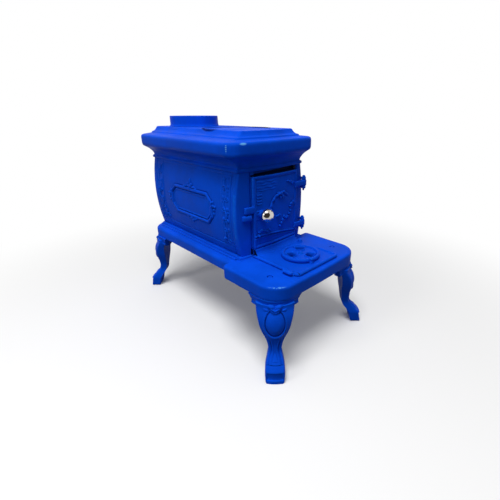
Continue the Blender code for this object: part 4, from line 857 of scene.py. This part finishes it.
def door_relief(x, z):
    """Relief of the door's face at x and z, outward positive, nought at the border's crown: a wreath of
    beads and mounds, a wavy band, ladder ribs, a plate by the knob, a curved moulding and scrolls."""
    x, z = np.broadcast_arrays(x, z)
    edge_line = np.minimum(np.minimum(x - DOOR_LEFT, DOOR_RIGHT - x), np.minimum(z - DOOR_FOOT, DOOR_HEAD - z))
    round_edge = -2.6 * round_off(edge_line, 3.2)
    h = round_edge - 2.4 * step(edge_line, 5.4, 9.6) - bead(edge_line - 11.2, 1.1, 0.7)
    ring = (np.hypot((x - 22) / 47.0, (z - 392) / 49.0) - 1) * 48.0
    turn = np.degrees(np.arctan2((z - 392) / 49.0, (x - 22) / 47.0)) % 360
    arch = step(turn, 92, 104) * (1 - step(turn, 178, 192)) * (0.72 + 0.28 * np.cos(np.radians(turn) * 16)) + \
        0.4 * step(turn, 44, 56) * (1 - step(turn, 66, 80)) + 0.3 * step(turn, 296, 310) * (1 - step(turn, 330, 345))
    h += arch * (bead(ring, 4.0, 5.0) - bead(ring + 5.8, 2.0, 1.8) - bead(ring - 5.8, 2.0, 1.4))
    h += 0.7 * step(-ring, 3, 10)
    wreath = [(20, 440, 6, 6.5), (30, 444, 8, 4), (10, 443, 7, 4), (26, 432, 4, 6), (16, 430, 3.5, 6),
              (-25, 398, 5, 5), (-26, 386, 5, 4.4), (70, 399, 9, 6), (80, 405, 6, 4.4), (63, 393, 5, 4),
              (4, 375, 8, 3.4), (12, 378, 5, 2.6), (22, 348, 5.4, 6), (27, 357, 5.4, 6), (34, 366, 5, 6.4),
              (42, 361, 5, 5), (51, 362, 5.4, 5.4), (58, 370, 5, 6), (64, 379, 4, 5.6), (15, 341, 5, 4.4)]
    h = h + mounds(x, z, wreath, 6.0)
    band = step(x, -74, -72) * (1 - step(x, -6, 8)) * step(z, 458, 460) * (1 - step(z, 491, 493))
    h += band * (0.2 + 1.5 * np.cos((z - 476 + 0.9 * np.sin(x * 0.21)) * math.pi / 8.2) ** 2) * \
        (0.62 + 0.38 * np.sin(x * 0.17 + z * 0.31))
    ladder = step(x, -74, -72.6) * (1 - step(x, -56, -54.6)) * step(z, 421, 423) * (1 - step(z, 454, 456))
    h += ladder * (0.2 + 2.0 * np.cos((z - 423) * math.pi / 8.4) ** 2)
    plate = np.minimum(np.minimum(x + 78, -30 - x), np.minimum(z - 377, 405 - z))
    h += 1.2 * step(plate, -1, 1) + bead(plate - 2.6, 2.4, 2.8) * step(z, 388, 394)
    sag = z - 319 + 9.5 * (x / 90.0) - 5.0 * (1 - (x / 90.0) ** 2)
    h += bead(sag, 2.6, 3.2) - bead(sag + 4.4, 1.6, 1.6) + bead(sag + 8.4, 1.6, 1.4)
    scroll = [(-68, 339, 5, 3.4), (-58, 343, 7, 3.4), (-47, 340, 6, 3.0), (-70, 329, 4, 5), (-38, 336, 6, 2.6),
              (-28, 339, 4, 3), (62, 470, 7, 4), (74, 464, 5, 6), (50, 473, 6, 3)]
    h = h + mounds(x, z, scroll, 4.2)
    return h * step(edge_line, -0.5, 0.5) + round_edge * (1 - step(edge_line, -0.5, 0.5))


x = np.linspace(DOOR_LEFT, DOOR_RIGHT, 216)[:, None]
z = np.linspace(DOOR_FOOT, DOOR_HEAD, 250)[None, :]
ends = np.array([DOOR_FOOT, DOOR_HEAD])[None, :]
leaf_front = np.stack([x + 0 * z, -bow(x) - 10 - door_relief(x, z), z + 0 * x], -1)
leaf_back = np.stack([x + 0 * ends, -bow(x) - 0.5 + 0 * ends, ends + 0 * x], -1)
rest_tab = tab_between([(-76, -15.5, 410, 4.0, 10), (-84, -15.5, 410, 4.0, 10), (-96, -14.4, 410, 4.2, 10),
                        (-108, -13.4, 410, 4.6, 10), (-113, -12.6, 410, 4.4, 9.6), (-114.8, -12.0, 410, 3.4, 8),
                        (-115, -11.8, 410, 2.2, 5.5)])
knob_boss = closed_turn([(0, 27.0), (9.0, 27.0), (9.6, 26.4), (9.8, 25), (10.4, 23.8), (11.6, 23.2), (12.2, 22),
                         (12.4, 20), (12.4, 16), (0, 16)], KNOB_PLACE, 96, "y")
door_parts = [panel(leaf_front, leaf_back), rest_tab, knob_boss]
for hz in HINGE_Z:
    door_parts.append(tab_between([(86, -19.6, hz, 3.6, 8), (95, -18.8, hz, 4.2, 8), (108, -19, hz, 4.4, 8),
                                   (120, -19.2, hz, 4.6, 8), (128.5, -19.4, hz, 4.2, 8)], 0.5))
    door_parts.append(closed_turn([(3.3, hz - 9), (7.6, hz - 9), (8.6, hz - 8.2), (8.8, hz - 7), (8.8, hz + 7),
                                   (8.6, hz + 8.2), (7.6, hz + 9), (3.3, hz + 9)], HINGE_PLACE, 64))
build("door_casting", "door_leaf", paint, door_parts, ("door",), sharp=60)


# Hinge pins: two forged steel pins, dropped through the lugs and the door's knuckles. Each has a
# domed head above and a short tail below, and is painted over.
for hz, name in zip(HINGE_Z, ("hinge_pin_lower", "hinge_pin_upper")):
    top, tail = hz + 18.3, hz - 25
    pin = closed_turn([(0, top + 5), (2, top + 4.8), (3.6, top + 4.0), (4.6, top + 2.6), (5, top + 1), (4.8, top),
                       (3, top), (3, tail + 3), (2.6, tail + 1), (1.6, tail), (0, tail)], HINGE_PLACE, 40)
    build(name + "_forged", "stove_body", paint, [pin], (name,))


# Latch knob: a mushroom of cast brass or iron with bright nickel plate, a little brown where the plate has thinned,
# on a shaft that turns the pawl inside. Its face carries a painted reflection, a near-black patch toward the camera.
nickel = Finish("nickel_plate")
grain = nickel.noise(420.0, 3.0, 0.6)
# Painted reflection: a near-black patch where the knob's face looks toward the camera.
dark = nickel.spot((-0.0705, -0.2035, 0.3995), (0.0145, 0.0145, 0.0125), 0.2).most(
    0.8 * nickel.spot((-0.0500, -0.2060, 0.4085), (0.0080, 0.0080, 0.0060), 0.2))
centre = nickel.ramp(dark + 0.9 * nickel.noise(150.0, 3.0, 0.6), 0.86, 1.0)
worn = nickel.ramp(nickel.noise(38.0, 4.0, 0.65), 0.5, 0.7)
plate = nickel.mix(worn * 0.6, (0.60, 0.58, 0.55, 1), (0.34, 0.25, 0.18, 1))
nickel.set(Base_Color=nickel.mix(centre, plate, (0.030, 0.024, 0.021, 1)), Metallic=1.0,
           Roughness=0.14 + 0.14 * worn + 0.06 * grain, Normal=nickel.bump(grain, 0.05, 0.0004))
knob_profile = rounded([(0, 60), (5, 59.8), (10, 58.6), (14.6, 55.8), (18, 51.8), (19.6, 47), (19.8, 43),
                        (18.6, 39.4), (15, 36.4), (10.4, 34.6), (8, 33), (7.2, 31), (7.2, 29), (7.2, 27.3),
                        (4, 27.3), (4, 20), (0, 20)])
build("knob_plated", "latch", nickel.material, [closed_turn(knob_profile, KNOB_PLACE, 96, "y")],
      ("latch_knob",))


# Hearth cover: a cast plate that swings aside on a pin at its rear right to clear the ash. It turns
# up in a cove against the door's foot, and has a thumb lug at the left.
COVER_FOOT, COVER_TOP = 265.8, 271.3
PIVOT = (91, -44)
DISC = (8, -115)
HOLE_TURNS = (45, 165, 285)


def arc(x, y, r, first, last, count):
    """Points round (x, y) from one angle to another, in degrees."""
    a = np.radians(np.linspace(first, last, count))
    return np.column_stack([x + r * np.cos(a), y + r * np.sin(a)])


def cover_loop(inset):
    """The cover's outline, drawn in by inset: round front corners, a pin ear, a bowed rear edge and a
    thumb lug, whose points move by their own shares of the inset."""
    x = np.linspace(94.0 - 0.8 * inset, -94.0 + inset, 40)
    rear = np.column_stack([x, -bow(x) - 11.0 - inset])
    lug = np.array([(-94, -144, 1, -1), (-97, -146, 0.6, -1), (-99.4, -149, 0.8, -1), (-100.6, -153, 1, 0),
                    (-101, -158, 1, 0), (-101, -167, 1, 0), (-100.6, -172, 1, 0), (-99.4, -176, 0.8, 1),
                    (-97, -179, 0.6, 1), (-94, -181, 1, 1)])
    return np.vstack([arc(-80, -180, 14 - inset, 180, 270, 11), arc(80, -180, 14 - inset, 270, 360, 11),
                      arc(*PIVOT, 11 - inset, -74, 74, 17), rear, lug[:, :2] + inset * lug[:, 2:]])


def draft_hole(angle, grow=0.0):
    """A rounded opening of the draft register, its long way across the radius."""
    a = math.radians(angle)
    turn = np.array([[math.cos(a), math.sin(a)], [-math.sin(a), math.cos(a)]])
    corners = ((38, 11, 0, 6), (22, 9, 90, 5), (22, -9, 180, 5), (38, -11, 270, 6))
    return np.vstack([arc(u, v, r + grow, start, start + 90, 9) for u, v, start, r in corners]) @ turn + DISC


holes = [draft_hole(turn) for turn in HOLE_TURNS]
edge_rows = [(2.8, COVER_FOOT), (2.6, 266.8), (0.4, 267.6), (0, 268.4), (0, 269.4), (0.35, 270.4), (1.1, 271.0),
             (2.2, COVER_TOP), (3.2, COVER_TOP)]
cover_parts = [wall([(cover_loop(inset), z) for inset, z in edge_rows]),
               filled([cover_loop(3.2)] + holes, COVER_TOP), filled([cover_loop(2.8)] + holes, COVER_FOOT)]
cover_parts += [wall([(hole, COVER_TOP), (hole, COVER_FOOT)]) for hole in holes]
# The cove at the rear, drawn as (distance in front of the door's foot, height).
u = np.linspace(-86, 93, 90)[:, None]
cove = rounded([(6, 270), (6, 287.6), (6.8, 288.4), (8, 288.5), (10.6, 288.5), (11.8, 288.0), (12.4, 286.6),
                (13.0, 283.4), (14.6, 279.4), (17.4, 275.8), (21, 273.2), (24.6, 271.7), (27, 271.2), (27, 270)])
d, z = cove.T[:, None, :]
cover_parts.append(loft(np.stack([u + 0 * d, -bow(u) - d, z + 0 * u], -1)))
# The rolled border: a low half-round carried along the edge, thinner at both ends.
line = np.vstack([np.column_stack([np.full(40, -89.2), np.linspace(-27, -178, 40)]),
                  arc(-80, -180, 9.2, 180, 270, 16),
                  np.column_stack([np.linspace(-78, 78, 30), np.full(30, -189.2)]),
                  arc(80, -180, 9.2, 270, 360, 16),
                  np.column_stack([np.full(20, 89.2), np.linspace(-178, -112, 20)])])
ahead = np.gradient(line, axis=0)
ahead /= np.linalg.norm(ahead, axis=1)[:, None]
t = np.linspace(0, 2 * math.pi, 18, endpoint=False)[None]
i = np.arange(len(line))[:, None]
slim = np.clip(np.minimum(i, (len(line) - 1 - i) * 0.35) / 3.0 + 0.3, 0.3, 1)
wide = 5.0 * slim * np.cos(t)
cover_parts.append(loft(np.stack([line[:, :1] + wide * ahead[:, 1:], line[:, 1:] - wide * ahead[:, :1],
                                  270.6 + slim * np.where(np.sin(t) > 0, 4.8, 0.5) * np.sin(t)], -1)))
# The thumb bar on the lug.
t = np.linspace(0, 2 * math.pi, 22, endpoint=False)[None]
along = np.array([0, 0.6, 2, 4.4, 8, 14, 20, 26, 29.6, 32, 33.4, 34.0])[:, None]
fat = np.sqrt(np.clip(1 - (np.abs(along - 17) / 17.2) ** 5, 0.02, 1))
cover_parts.append(loft(np.stack([-101.2 + 6.6 * fat * np.cos(t), -145.5 - along + 0 * t,
                                  274.2 + fat * np.where(np.sin(t) > 0, 5.4, 4.2) * np.sin(t)], -1)))
build("cover_casting", "cover", paint, cover_parts, ("hearth_cover",))


# Draft disc: a cast register on the cover, pushed round by its small stud to open or close the
# three air holes below it.
DISC_FOOT, DISC_FACE, STUD_TURN = 271.6, 279.2, math.radians(-108)
rim_rows = rounded([(53.6, DISC_FOOT), (53.8, 273.2), (56.4, 274.2), (57.5, 276.4), (57.6, 279.4), (56.6, 282.2),
                    (54.2, 283.9), (51.2, 284.4), (49.4, 283.6), (48.2, 281.6), (47.7, 279.9), (47.2, DISC_FACE),
                    (46.8, DISC_FACE)], 1)
lip_rows = [(0.6, DISC_FACE), (0.4, 280.4), (-0.2, 281.8), (-1.2, 282.5), (-2.2, 282.0), (-2.8, 280.6),
            (-2.8, 276.0), (-2.8, DISC_FOOT)]
disc_parts = [wall([(circle(*DISC, r, 128), z) for r, z in rim_rows]),
              filled([circle(*DISC, 53.6, 128)] + [draft_hole(turn, -2.8) for turn in HOLE_TURNS], DISC_FOOT),
              filled([circle(*DISC, 46.8, 128)] + [draft_hole(turn, 0.6) for turn in HOLE_TURNS], DISC_FACE)]
disc_parts += [wall([(draft_hole(turn, grow), z) for grow, z in lip_rows]) for turn in HOLE_TURNS]
stud = (DISC[0] + 59 * math.cos(STUD_TURN), DISC[1] + 59 * math.sin(STUD_TURN), 0)
disc_parts.append(closed_turn([(0, 288.2), (2.6, 288.0), (4.6, 286.8), (5.6, 284.6), (5.2, 282.4), (4.6, 280.6),
                               (5.4, 278), (6, 276), (6, 272.2), (0, 272.2)], stud, 48))
disc_parts.append(closed_turn([(3.4, 281.3), (3.4, 282.2), (6.6, 282.2), (8.6, 281.6), (9.4, 279.0), (3.4, 279.0)],
                              (*DISC, 0), 64))
build("draft_disc_casting", "draft_disc", paint, disc_parts, ("spinner",))


# Fastenings and inner iron: the screws and the cover's pivot, a pin with a raised round head, have
# been painted over with the castings; rods, nuts and pawl are plain steel; the grate is bare iron,
# scaled by the fire.
steel = Finish("plain_steel")
spots = steel.ramp(steel.noise(60.0, 5.0, 0.65), 0.5, 0.7)
scratch = steel.noise(520.0, 3.0, 0.6)
steel.set(Base_Color=steel.mix(spots * 0.7, (0.27, 0.27, 0.28, 1), (0.13, 0.065, 0.035, 1)),
          Metallic=1.0 - 0.6 * spots, Roughness=0.42 + 0.3 * spots + 0.08 * scratch,
          Normal=steel.bump(scratch, 0.12, 0.0004))
iron = Finish("bare_iron_scaled")
scale = iron.noise(75.0, 5.0, 0.7)
rust = iron.ramp(iron.noise(22.0, 4.0, 0.6), 0.48, 0.7)
scaled = iron.mix(iron.ramp(scale, 0.4, 0.62), (0.035, 0.035, 0.038, 1), (0.075, 0.072, 0.07, 1))
iron.set(Base_Color=iron.mix(rust * 0.7, scaled, (0.14, 0.055, 0.024, 1)), Metallic=0.35,
         Roughness=0.72 + 0.15 * rust, Normal=iron.bump(scale, 0.45, 0.0016))
pivot = turned([(0, 253), (3, 253), (3, 271.6), (8.6, 271.6), (8.8, 272.4), (8.2, 273.2), (7.2, 273.4),
                (6.9, 276.4), (6.2, 278.6), (4.2, 280.2), (0, 280.8)], (*PIVOT, 0), 48)
build("cover_pivot_painted", "stove_body", paint, [loft(pivot, low=False, high=False)],
      ("cover_pivot",))
for name in ("collar_bolt_left", "collar_bolt_right", "spinner_bolt"):
    coat_solid(name, paint)
for name, finish in (("fire_grate", iron), ("latch_pawl", steel), ("latch_nut", steel)):
    coat_solid(name, finish.material)
for end in ("front", "rear"):
    for hand in ("left", "right"):
        for kind, finish in (("leg_bolt", paint), ("leg_nut", steel.material), ("tie_rod", steel.material),
                             ("tie_nut", steel.material)):
            coat_solid("%s_%s_%s" % (kind, end, hand), finish)
